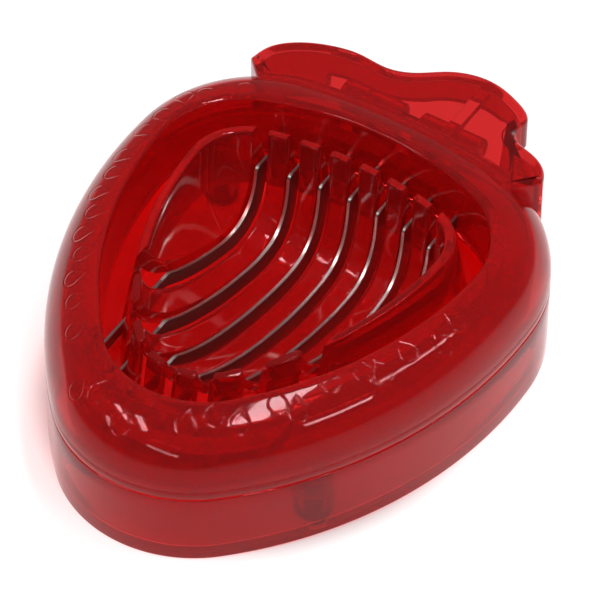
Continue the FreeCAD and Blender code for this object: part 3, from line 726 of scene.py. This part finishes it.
def bowl_skirt(inset, lowered=0.0):
    """The space inside the bowl's tapered outer wall, moved in by inset: straight lines from a
    foot inside the ring's opening up to the rim, stopped a little lower on request."""
    foot = WELL - SKIRT_GAP - inset
    rim = bowl_values(0.0, BOWL, BOWL_WALL - inset)[0]
    start = FLANGE[0] - inset
    rows = []
    for share in np.linspace(0, 1, 9):
        height = start + (BOWL_RIM - start) * share
        rows.append((foot + (rim - foot) * share, height))
    if lowered:
        share = 1 - lowered / (BOWL_RIM - start)
        rows[-1] = (foot + (rim - foot) * share, BOWL_RIM - lowered)
    return solid("skirt", stacked(rows))


def slotted_bowl():
    """The flange and the tapered outer wall, hollowed out; strips and side walls are joined to
    it, the slots between them are cut, and posts with bores are added below."""
    edge = SOFT_EDGE
    outside = BODY - BASE_WALL - SEAT
    rows = rounded(outside - edge, FLANGE[0] + edge, edge, -90.0, 0.0, 2)
    rows += rounded(outside - edge, FLANGE[1] - edge, edge, 0.0, 90.0, 2)
    bowl = solid("slotted_bowl_body", stacked(rows))
    bowl = combine(bowl, rod_across(SWING, -BEYOND, BEYOND, steps=96), "DIFFERENCE")
    bowl = combine(bowl, bowl_skirt(0.0, RIM_ROUND), "UNION")
    core = combine(bowl_skirt(BOWL_WALL), bowl_cup(BOWL, BOWL_WALL), "DIFFERENCE")
    bowl = combine(bowl, core, "DIFFERENCE")
    bowl = combine(bowl, bowl_cup(BOWL, BOWL_WALL - OVERLAP), "DIFFERENCE")
    starts = [-BLADE_PLACES[-1] + SLOT / 2 + PITCH * step for step in range(6)]
    for x0 in starts:
        bowl = combine(bowl, bowl_strip(x0, x0 + PITCH - SLOT), "UNION")
    for sign in (-1, 1):
        bowl = combine(bowl, bowl_side(sign), "UNION")
    for x in BLADE_PLACES:
        sides = (x - SLOT / 2, x + SLOT / 2, -BEYOND, BEYOND)
        slot = combine(bowl_cup(BOWL, BOWL_WALL + SLOT_PAST), block(*sides, 0, BEYOND), "INTERSECT")
        bowl = combine(bowl, slot, "DIFFERENCE")
        bowl = combine(bowl, block(*sides, FLANGE[1], BEYOND), "DIFFERENCE")
    for place in POSTS:
        bowl = combine(bowl, post(POST_RADIUS, place, POST_TOP, FLANGE[0] + OVERLAP), "UNION")
        bowl = combine(bowl, post(SCREW_RADIUS + PLAY, place, 0.0, HEAD_RECESS + SCREW_LENGTH
                                  + SEAT), "DIFFERENCE")
    return bowl


# Blades

def blade(x):
    """A strip of steel between two curves of the bowl's section at x, with its ends level: the
    section of the strip is an oblong with bevelled corners. The bends of both curves are eased.
    Returns the piece and the stretch along Y of its sharpened upper edge, where the narrow
    faces get the paler steel, a painted highlight."""
    shares = np.linspace(0, 1, BLADE_POINTS)
    wall = stacked([(WELL + RING_WALL, 0.0)])[0]
    reach = wall[np.abs(np.abs(wall[:, 0]) - abs(x)) < BLADE_THICKNESS]
    rear_end = reach[reach[:, 1] > 0][:, 1].mean() + TANG_GRIP
    front_end = reach[reach[:, 1] < 0][:, 1].mean()
    curves = []
    for sizes, grow, level in ((BLADE_EDGE, 0.0, 1), (BOWL, BLADE_BITE, 0)):
        path = section_at(x, sizes, grow)
        lowest = int(np.argmin(path[:, 1]))
        rear = path[:lowest][path[:lowest, 1] <= REAR_TANG[level]]
        front = path[lowest:][path[lowest:, 1] <= FRONT_TANG[level]]
        if level:
            highlight_span = (front[-1, 0] - EDGE_HIGHLIGHT_PAST, rear[0, 0])
        rear_start = [(rear_end, REAR_TANG[level]), (rear[0, 0], REAR_TANG[level])]
        front_stop = [(front[-1, 0], FRONT_TANG[level]), (front_end, FRONT_TANG[level])]
        whole = np.concatenate([rear_start, rear, front, front_stop])
        curves.append(eased(resample(whole, shares), BLADE_EASING))
    upper, lower = curves
    down = lower - upper
    down = down / np.linalg.norm(down, axis=1)[:, None]
    half, bevel = BLADE_THICKNESS / 2, BLADE_BEVEL
    corners = ((half, upper, bevel), (half - bevel, upper, 0), (bevel - half, upper, 0),
               (-half, upper, bevel), (-half, lower, -bevel), (bevel - half, lower, 0),
               (half - bevel, lower, 0), (half, lower, -bevel))
    grid = np.zeros((BLADE_POINTS, len(corners), 3))
    for number, (across, edge, step) in enumerate(corners):
        grid[:, number, 0] = x + across
        grid[:, number, 1:] = edge + down * step
    strip = solid("blade_strip", grid)
    hook = block(x - half, x + half, front_end - TANG_GRIP, front_end + HOOK_OVERLAP,
                 RING_BOTTOM + PLAY, HOOK_TOP)
    return combine(strip, hook, "UNION"), highlight_span


def paint_edge_highlight(strip, material, low, high):
    """Gives a blade's narrow faces between two places along Y the paler steel, a painted highlight
    along the sharpened edge: their normals lie in the blade's plane."""
    strip.data.materials.append(material)
    normals = np.zeros(len(strip.data.polygons) * 3)
    strip.data.polygons.foreach_get("normal", normals)
    middles = np.zeros(len(strip.data.polygons) * 3)
    strip.data.polygons.foreach_get("center", middles)
    across = normals.reshape(-1, 3)[:, 0]
    along = middles.reshape(-1, 3)[:, 1]
    narrow = (np.abs(across) < NARROW_FACE) & (along > low * MM) & (along < high * MM)
    strip.data.polygons.foreach_set("material_index", narrow.astype(int))


# Leaf cap

def spline(points, count):
    """A natural cubic spline through points, by the distances between them: on each span it
    is a cubic whose second derivatives m solve a three-diagonal system."""
    points = np.array(points, float)
    way = np.concatenate([[0.0], np.cumsum(np.linalg.norm(np.diff(points, axis=0), axis=1))])
    span = np.diff(way)
    size = len(points)
    system = np.eye(size)
    right = np.zeros_like(points)
    for k in range(1, size - 1):
        system[k, k - 1:k + 2] = span[k - 1], 2 * (span[k - 1] + span[k]), span[k]
        right[k] = 6 * ((points[k + 1] - points[k]) / span[k] -
                        (points[k] - points[k - 1]) / span[k - 1])
    bend = np.linalg.solve(system, right)
    wanted = np.linspace(0, way[-1], count)
    k = np.clip(np.searchsorted(way, wanted) - 1, 0, size - 2)
    h = span[k][:, None]
    a = (way[k + 1] - wanted)[:, None] / h
    b = 1 - a
    return (a * points[k] + b * points[k + 1] +
            ((a ** 3 - a) * bend[k] + (b ** 3 - b) * bend[k + 1]) * h ** 2 / 6)


def leaf_outline(inset):
    """The cap's closed outline, clockwise: the lobes' curve and three straight sides with
    rounded corners, moved inwards by inset along its normals."""
    curve = spline(LEAF_POINTS, 321)
    right, left = np.array(LEAF_FRONT)
    sides = [curve[-1], right, left, curve[0]]
    straight = [start + (end - start) * np.arange(1, count)[:, None] / count
                for start, end, count in zip(sides, sides[1:], (24, 120, 24))]
    straight.insert(1, right[None])
    straight.insert(3, left[None])
    path = np.concatenate([curve, *straight])
    step = np.roll(path, -1, 0) - path
    before = step / np.linalg.norm(step, axis=1)[:, None]
    normal = np.stack([before[:, 1], -before[:, 0]], -1)
    behind = np.roll(normal, 1, 0)
    share = 1 + np.sum(normal * behind, axis=1)
    return path + (normal + behind) * (inset / share)[:, None]


def leaf_rows(rows):
    """A grid from (inset, height) pairs."""
    return np.stack([np.insert(leaf_outline(inset), 2, height, 1) for inset, height in rows])


def leaf_edge(inset, top, radius, steps):
    """Rows of a rounded upper edge: a quarter circle from upright to level, as (inset, height)."""
    return [(inset + radius * (1 - math.cos(lean)), top - radius * (1 - math.sin(lean)))
            for lean in np.radians(np.linspace(0, 90, steps))]


def leaf_cap():
    """The three-lobed cap: an upright wall, a rounded edge and a flat top, hollow below and cut
    to the ring's shoulder."""
    roof = CAP_TOP - CAP_WALL
    rows = [(0.0, z) for z in CAP_ROWS]
    cap = solid("leaf_cap_shell", leaf_rows(rows + leaf_edge(0.0, CAP_TOP, CAP_ROUND, 10)))
    rows = [(CAP_WALL, z) for z in HOLLOW_ROWS]
    hollow = solid("hollow", leaf_rows(rows + leaf_edge(CAP_WALL, roof, CAP_INNER_ROUND, 5)))
    rib = block(VEIN[0] - VEIN[1] / 2, VEIN[0] + VEIN[1] / 2, 0, BEYOND, roof - VEIN[2], BEYOND)
    hollow = combine(hollow, rib, "DIFFERENCE")
    cap = combine(cap, hollow, "DIFFERENCE")
    cap = combine(cap, block(-CAP_CUT[0], CAP_CUT[0], 0, BEYOND, 0, CAP_CUT[1]), "DIFFERENCE")
    below = stacked([(BODY, 0.0), (BODY, 12.0)] + shoulder_rows(0.0, np.linspace(0, 90, 40)),
                    FINE_STEPS)
    return combine(cap, solid("seat", below), "DIFFERENCE")


# Combs, pin and screws

def blade_comb(low, high):
    """A bar behind the well's wall, between two distances along Y, with a slot for each blade."""
    inner = WELL + RING_WALL + PLAY
    outer = inner + COMB_WIDTH
    rows = [(inner, RING_BOTTOM), (inner, COMB_TOP), (outer - SOFT_EDGE, COMB_TOP),
            (outer, COMB_TOP - SOFT_EDGE), (outer, RING_BOTTOM)]
    bar = solid("blade_comb", stacked(rows), True)
    half = BLADE_PLACES[-1] + COMB_OVERHANG
    bar = combine(bar, block(-half, half, low, high, 0, BEYOND), "INTERSECT")
    tip = REAR_TANG[1] if low >= 0 else HOOK_TOP
    gripped = inner + TANG_GRIP
    held = stacked([(gripped, RETAINER_BOTTOM), (gripped, tip + PLAY)])
    half = BLADE_THICKNESS / 2 + PLAY
    for x in BLADE_PLACES:
        slit = combine(solid("slit", held), block(x - half, x + half, low, high, 0, BEYOND),
                       "INTERSECT")
        bar = combine(bar, slit, "DIFFERENCE")
    return bar


def hinge_pin():
    """A plain rod across both ears, with bevelled ends."""
    rod = rod_across(PIN_RADIUS, -EARS[1], EARS[1], PIN_BEVEL, 48)
    rod.name = "hinge_rod"
    return rod


def screw(place):
    """A flat-headed screw that points up: its thread is a wave of the radius that climbs
    THREAD_PITCH per turn, and its head has a crossed recess."""
    foot, top = HEAD_RECESS, HEAD_RECESS + SCREW_LENGTH
    angle = np.linspace(0, 2 * np.pi, 48, endpoint=False)
    height = np.linspace(foot + HEAD_HEIGHT, top, 110)
    wave = np.cos(2 * np.pi * height[:, None] / THREAD_PITCH - angle)
    fade = np.clip((top - height) / POINT[0], 0, 1)[:, None]
    radius = SCREW_RADIUS - THREAD_DEPTH / 2 * fade * (1 - wave) - POINT[1] * (1 - fade)
    head = [(HEAD_RADIUS - inside, foot + above) for inside, above in HEAD_EDGE]
    radius = np.concatenate([np.repeat([[r] for r, _ in head], 48, axis=1), radius])
    height = np.concatenate([[z for _, z in head], height])
    grid = np.stack([place[0] + radius * np.cos(angle), place[1] + radius * np.sin(angle),
                     np.broadcast_to(height[:, None], radius.shape)], -1)
    piece = solid("screw", grid)
    arm, half, deep = RECESS
    for across, along in ((arm, half), (half, arm)):
        recess = block(place[0] - across, place[0] + across, place[1] - along,
                       place[1] + along, foot - 1, foot + deep)
        piece = combine(piece, recess, "DIFFERENCE")
    return piece


def joined(name, pieces):
    """Separate pieces of one kind as one object."""
    first = pieces[0]
    with bpy.context.temp_override(active_object=first, selected_editable_objects=pieces):
        bpy.ops.object.join()
    first.name = name
    return first


# Materials. Colours are sRGB hex values.

# the plastic's own colour, the tint of what shines through it on the way from a lamp, and the
# tint of its highlights
PLASTIC_RED = "C42829"
SHADOW_RED = "FC7C7C"
HIGHLIGHT_TINT = "B59BA0"
# styrene has 1.59; a little less gives the photograph's weaker mirror of the floor
STYRENE_IOR = 1.45
# the share of light that passes; the dye scatters the rest
CLEARNESS = 0.86
# patches of better and worse polish on the mould, and the faint waves of the moulding
POLISH_PATCH = 5.0
POLISH_ROUGHNESS = (0.035, 0.065)
FLOW_WAVE = 7.0
FLOW_HEIGHT = 0.03
# half width and depth of the line round a seed
SEED_LINE = 0.3
SEED_GROOVE = 0.055
# the polishing grain of the steel, drawn coarser than the real one so that it shows, and how
# much rougher or smoother it makes a place
STEEL_GRAIN = 0.35
STEEL_DEPTH = 0.004
STEEL_SPREAD = 0.06
# the range in which most values of Blender's noise lie
NOISE_RANGE = (0.25, 0.75)


def linear(code):
    """An sRGB hex value as a linear colour with alpha."""
    parts = [int(code[i:i + 2], 16) / 255 for i in (0, 2, 4)]
    lit = [c / 12.92 if c <= 0.04045 else ((c + 0.055) / 1.055) ** 2.4 for c in parts]
    return (*lit, 1.0)


def add(tree, kind, settings=None, **links):
    """Adds a node. settings holds its properties and constant inputs, links the sockets that
    feed its inputs; an input is given by its name, or by in_ and its number."""
    node = tree.nodes.new(kind)
    for key, value in (settings or {}).items():
        if isinstance(key, str) and hasattr(node, key):
            setattr(node, key, value)
        else:
            node.inputs[key].default_value = value
    for key, source in links.items():
        name = int(key[3:]) if key.startswith("in_") else key.replace("_", " ")
        tree.links.new(source, node.inputs[name])
    return node


def new_material(name):
    """An empty material and its node tree."""
    material = bpy.data.materials.new(name)
    material.use_nodes = True
    material.node_tree.nodes.clear()
    return material, material.node_tree


def surface_noise(tree, size, detail):
    """Noise from 0 to 1 in waves about size millimetres long: 1 over the size, in metres, is
    the scale."""
    seat = add(tree, "ShaderNodeTexCoord")
    noise = add(tree, "ShaderNodeTexNoise", {"Scale": 1.0 / (size * MM), "Detail": detail},
                Vector=seat.outputs["Object"])
    return noise.outputs[0]


def red_plastic(name, marks=False):
    """Clear polystyrene dyed a deep red, injection moulded in a polished steel mould. To the eye
    it is wet and glassy: each wall that light passes deepens the red, folds gather it into dark
    bands, and its faces mirror the lamps with slow waves where the melt flowed. The ring has
    seed marks too. Rays on their way to a lamp pass it straight, tinted once per face."""
    material, tree = new_material(name)
    low, high = POLISH_ROUGHNESS
    rough = add(tree, "ShaderNodeMapRange", {
        "From Min": NOISE_RANGE[0], "From Max": NOISE_RANGE[1], "To Min": low, "To Max": high},
        Value=surface_noise(tree, POLISH_PATCH, 2.0))
    flow = add(tree, "ShaderNodeBump", {"Strength": 1.0, "Distance": FLOW_HEIGHT * MM},
               Height=surface_noise(tree, FLOW_WAVE, 1.0)).outputs[0]
    normal = seed_bump(tree, flow) if marks else flow
    body = add(tree, "ShaderNodeBsdfPrincipled", {
        "Base Color": linear(PLASTIC_RED), "IOR": STYRENE_IOR,
        "Transmission Weight": CLEARNESS, "Specular Tint": linear(HIGHLIGHT_TINT)},
        Roughness=rough.outputs[0], Normal=normal)
    passing = add(tree, "ShaderNodeBsdfTransparent", {"Color": linear(SHADOW_RED)})
    path = add(tree, "ShaderNodeLightPath")
    mix = add(tree, "ShaderNodeMixShader", None, in_0=path.outputs["Is Shadow Ray"],
              in_1=body.outputs[0], in_2=passing.outputs[0])
    add(tree, "ShaderNodeOutputMaterial", None, Surface=mix.outputs[0])
    return material


def seed_bump(tree, flow):
    """A thin groove along each seed's outline, on top of the moulding's waves. The seed map
    gives the place across and along the nearest seed; with its two sides folded into one, the
    outline is a circle up to where a tangent touches it, and the tangent beyond. The distance
    to the circle is the place's length less the radius; to the tangent it is the place's
    product with the tangent's unit normal less the radius."""
    slope = SEED_RADIUS / SEED_LENGTH
    level = math.sqrt(1 - slope ** 2)
    seat = add(tree, "ShaderNodeUVMap", {"uv_map": "seed_map"})
    place = add(tree, "ShaderNodeVectorMath", {
        "operation": "MULTIPLY_ADD", 1: (SEED_MAP, SEED_MAP, 0.0),
        2: (-SEED_MAP / 2, -SEED_MAP / 2, 0.0)}, in_0=seat.outputs[0])
    parts = add(tree, "ShaderNodeSeparateXYZ", None, Vector=place.outputs[0])
    side = add(tree, "ShaderNodeMath", {"operation": "ABSOLUTE"}, in_0=parts.outputs[0])
    folded = add(tree, "ShaderNodeCombineXYZ", None, X=side.outputs[0],
                 Y=parts.outputs[1]).outputs[0]
    radial = add(tree, "ShaderNodeVectorMath", {"operation": "LENGTH"}, in_0=folded)
    outwards = add(tree, "ShaderNodeVectorMath", {
        "operation": "DOT_PRODUCT", 1: (level, slope, 0.0)}, in_0=folded)
    onwards = add(tree, "ShaderNodeVectorMath", {
        "operation": "DOT_PRODUCT", 1: (-slope, level, 0.0)}, in_0=folded)
    beyond = add(tree, "ShaderNodeMath", {"operation": "GREATER_THAN", 1: 0.0},
                 in_0=onwards.outputs["Value"])
    reach = add(tree, "ShaderNodeMix", {"data_type": "FLOAT"}, in_0=beyond.outputs[0],
                in_2=radial.outputs["Value"], in_3=outwards.outputs["Value"])
    outside = add(tree, "ShaderNodeMath", {"operation": "SUBTRACT", 1: SEED_RADIUS},
                  in_0=reach.outputs[0])
    distance = add(tree, "ShaderNodeMath", {"operation": "ABSOLUTE"}, in_0=outside.outputs[0])
    groove = add(tree, "ShaderNodeMapRange", {
        "interpolation_type": "SMOOTHSTEP", "From Min": 0.0, "From Max": SEED_LINE,
        "To Min": 0.0, "To Max": 1.0}, Value=distance.outputs[0])
    bump = add(tree, "ShaderNodeBump", {"Strength": 1.0, "Distance": SEED_GROOVE * MM},
               Height=groove.outputs[0], Normal=flow)
    return bump.outputs[0]


def steel(name, colour, roughness):
    """Stainless steel of a colour and a mean roughness. The fine grain of its polishing breaks
    what it mirrors into a soft sheen."""
    material, tree = new_material(name)
    grain = surface_noise(tree, STEEL_GRAIN, 3.0)
    bump = add(tree, "ShaderNodeBump", {"Strength": 1.0, "Distance": STEEL_DEPTH * MM},
               Height=grain)
    rough = add(tree, "ShaderNodeMapRange", {
        "From Min": NOISE_RANGE[0], "From Max": NOISE_RANGE[1],
        "To Min": roughness - STEEL_SPREAD, "To Max": roughness + STEEL_SPREAD}, Value=grain)
    body = add(tree, "ShaderNodeBsdfPrincipled", {"Base Color": linear(colour), "Metallic": 1.0},
               Roughness=rough.outputs[0], Normal=bump.outputs[0])
    add(tree, "ShaderNodeOutputMaterial", None, Surface=body.outputs[0])
    return material


# Stage

# the floor: half its side, how far it lies below the object, its colour, and how much light is
# added for seen rays, in full up to the first distance from the object and none past the second
FLOOR_HALF = 3000.0
FLOOR_DROP = 0.05
FLOOR_GREY = "9C9C9C"
FLOOR_LIFT = 0.7
LIFT_FADE = (120.0, 500.0)
# under the object the added light falls to a share of itself, a painted shadow of the object,
# between these parts of the footprint's half length and half width
UNDER_SHARE = 0.3
PAINTED_SHADOW_FADE = (0.85, 1.0)
SKY_STRENGTH = 0.21
# the most faces that a ray may pass or be mirrored at: the clear pieces lie many deep
MOST_BOUNCES = 32
# lamps: name, direction of its middle, direction of its long side, long and short side, watts
LAMP_DISTANCE = 900.0
LAMPS = (
    ("overhead_strip", (0.21, 0.07, 0.97), (0.7, -0.72, 0.0), 680.0, 85.0, 6.0),
    ("right_strip", (0.86, -0.15, 0.51), (0.2, 1.0, 0.0), 240.0, 55.0, 1.0),
    ("rear_right_strip", (0.68, 0.25, 0.69), (-0.2, 1.0, -0.5), 260.0, 60.0, 1.0),
    ("window_left_pane", (-0.42, -0.5, 0.76), (0.25, -0.6, 0.0), 300.0, 55.0, 1.2),
    ("window_right_pane", (-0.24, -0.55, 0.8), (0.15, -0.6, 0.0), 330.0, 55.0, 1.2),
    ("low_window", (-0.53, -0.7, 0.48), (0.15, -0.6, -0.4), 170.0, 60.0, 0.4),
    ("low_front_strip", (0.14, -0.91, 0.38), (1.0, 0.1, -0.45), 380.0, 50.0, 0.6),
)


def seen_rays(tree):
    """1 for rays from the camera, from a mirror and through glass, else 0."""
    path = add(tree, "ShaderNodeLightPath")
    first = add(tree, "ShaderNodeMath", {"operation": "MAXIMUM"},
                in_0=path.outputs["Is Camera Ray"], in_1=path.outputs["Is Glossy Ray"])
    both = add(tree, "ShaderNodeMath", {"operation": "MAXIMUM"},
               in_0=first.outputs[0], in_1=path.outputs["Is Transmission Ray"])
    return both.outputs[0]


def floor_lift(tree):
    """How much light the floor adds: FLOOR_LIFT times three shares, which fall with distance
    from the object, fall to a share of themselves inside its footprint, a painted shadow of
    the object, and are 0 for unseen rays. The footprint is an ellipse: the length of the place
    after its axes are scaled to 1."""
    seat = add(tree, "ShaderNodeTexCoord").outputs["Object"]
    away = add(tree, "ShaderNodeVectorMath", {"operation": "LENGTH"}, in_0=seat)
    near = add(tree, "ShaderNodeMapRange", {
        "interpolation_type": "SMOOTHSTEP", "From Min": LIFT_FADE[0] * MM,
        "From Max": LIFT_FADE[1] * MM, "To Min": FLOOR_LIFT, "To Max": 0.0},
        Value=away.outputs["Value"])
    half, back, front = BODY[:3] * MM
    footprint = add(tree, "ShaderNodeMapping", {
        "vector_type": "TEXTURE", "Location": (0.0, (back - front) / 2, 0.0),
        "Scale": (half, (back + front) / 2, 1.0)}, Vector=seat)
    outwards = add(tree, "ShaderNodeVectorMath", {"operation": "LENGTH"},
                   in_0=footprint.outputs["Vector"])
    # painted shadow: the floor's added light drops under the object's footprint
    outside = add(tree, "ShaderNodeMapRange", {
        "interpolation_type": "SMOOTHSTEP", "From Min": PAINTED_SHADOW_FADE[0],
        "From Max": PAINTED_SHADOW_FADE[1], "To Min": UNDER_SHARE}, Value=outwards.outputs["Value"])
    both = add(tree, "ShaderNodeMath", {"operation": "MULTIPLY"}, in_0=near.outputs[0],
               in_1=outside.outputs[0])
    lift = add(tree, "ShaderNodeMath", {"operation": "MULTIPLY"}, in_0=seen_rays(tree),
               in_1=both.outputs[0])
    return lift.outputs[0]


def studio_floor():
    """White paper, matt, so that it takes the object's soft shadow and mirrors nothing. It is
    drawn grey and lifted to white for the rays that are seen, which keeps the grey's weaker
    light on the plastic. Under the object the lift is smaller, a painted shadow."""
    half = FLOOR_HALF * MM
    mesh = bpy.data.meshes.new("studio_floor")
    mesh.from_pydata([(-half, -half, 0), (half, -half, 0), (half, half, 0), (-half, half, 0)],
                     [], [(0, 1, 2, 3)])
    floor = bpy.data.objects.new("studio_floor", mesh)
    bpy.context.scene.collection.objects.link(floor)
    floor.location.z = -FLOOR_DROP * MM
    material, tree = new_material("white_paper_floor")
    paper = add(tree, "ShaderNodeBsdfDiffuse", {"Color": linear(FLOOR_GREY)})
    glow = add(tree, "ShaderNodeEmission", {"Color": linear("FFFFFF")}, Strength=floor_lift(tree))
    total = add(tree, "ShaderNodeAddShader", None, in_0=paper.outputs[0], in_1=glow.outputs[0])
    add(tree, "ShaderNodeOutputMaterial", None, Surface=total.outputs[0])
    mesh.materials.append(material)
    floor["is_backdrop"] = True


def studio_world():
    """A plain grey sky, the same all round."""
    world = bpy.data.worlds.new("studio")
    bpy.context.scene.world = world
    world.use_nodes = True
    tree = world.node_tree
    tree.nodes.clear()
    sky = add(tree, "ShaderNodeBackground", {"Color": linear("FFFFFF"), "Strength": SKY_STRENGTH})
    add(tree, "ShaderNodeOutputWorld", None, Surface=sky.outputs[0])


def softbox(name, towards, along, long, short, power):
    """A rectangular lamp at LAMP_DISTANCE that faces the object, in the direction towards, with
    its long side along a second direction, less that direction's share of the first."""
    data = bpy.data.lights.new(name, "AREA")
    data.shape = "RECTANGLE"
    data.size = long * MM
    data.size_y = short * MM
    data.energy = power
    lamp = bpy.data.objects.new(name, data)
    bpy.context.scene.collection.objects.link(lamp)
    back = Vector(towards).normalized()
    side = Vector(along)
    side = (side - back * side.dot(back)).normalized()
    axes = Matrix((side, back.cross(side), back)).transposed().to_4x4()
    lamp.matrix_world = Matrix.Translation(back * LAMP_DISTANCE * MM) @ axes


scene = bpy.context.scene
scene.view_settings.view_transform = "Standard"
scene.cycles.max_bounces = MOST_BOUNCES
scene.cycles.transmission_bounces = MOST_BOUNCES
scene.cycles.transparent_max_bounces = MOST_BOUNCES

make_camera()
studio_floor()
studio_world()
for lamp in LAMPS:
    softbox(*lamp)

plastic = red_plastic("moulded_red_styrene")
marked = red_plastic("red_styrene_with_seed_marks", True)
# hard stainless strip, cold rolled bright: its broad sides mirror dimly and look grey
rolled = steel("rolled_blade_steel", "8A8784", 0.35)
# the same steel on the sharpened and polished edge, drawn paler with the same roughness: a
# painted highlight, so that the edge draws a bright line
edge_highlight_steel = steel("blade_edge_painted_highlight", "D6D3CF", 0.35)
# stainless rod and screws, turned on a lathe: smoother, with a tighter shine
turned_steel = steel("turned_pin_steel", "A8A6A3", 0.25)
for node in NODES.values():
    node.data.materials.clear()
    node.data.materials.append(plastic)

finish(blade_ring(), marked, "frame", "blade_frame")
finish(base_body(), plastic, "base", "base_shell")
finish(retainer_plate(), plastic, "frame", "blade_retainer")
finish(slotted_bowl(), plastic, "base", "slotted_bowl")
finish(leaf_cap(), plastic, "frame", "leaf_cap")
for node, low, high in (("rear_blade_comb", 0, BEYOND), ("front_blade_comb", -BEYOND, 0)):
    comb = blade_comb(low, high)
    comb.name = node + "_bar"
    finish(comb, plastic, "frame", node)
finish(hinge_pin(), turned_steel, "base", "hinge_pin")
screws = joined("screws_in_posts", [screw(place) for place in POSTS])
finish(screws, turned_steel, "base", "bowl_screws")
for number, x in enumerate(BLADE_PLACES, start=1):
    strip, highlight_span = blade(x)
    strip.name = "blade_strip_%d" % number
    finish(strip, rolled, "frame", "blade_%d" % number, sharp=BLADE_SHARP_ANGLE)
    # painted highlight: the edge's narrow faces get the paler steel
    paint_edge_highlight(strip, edge_highlight_steel, *highlight_span)

low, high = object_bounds()
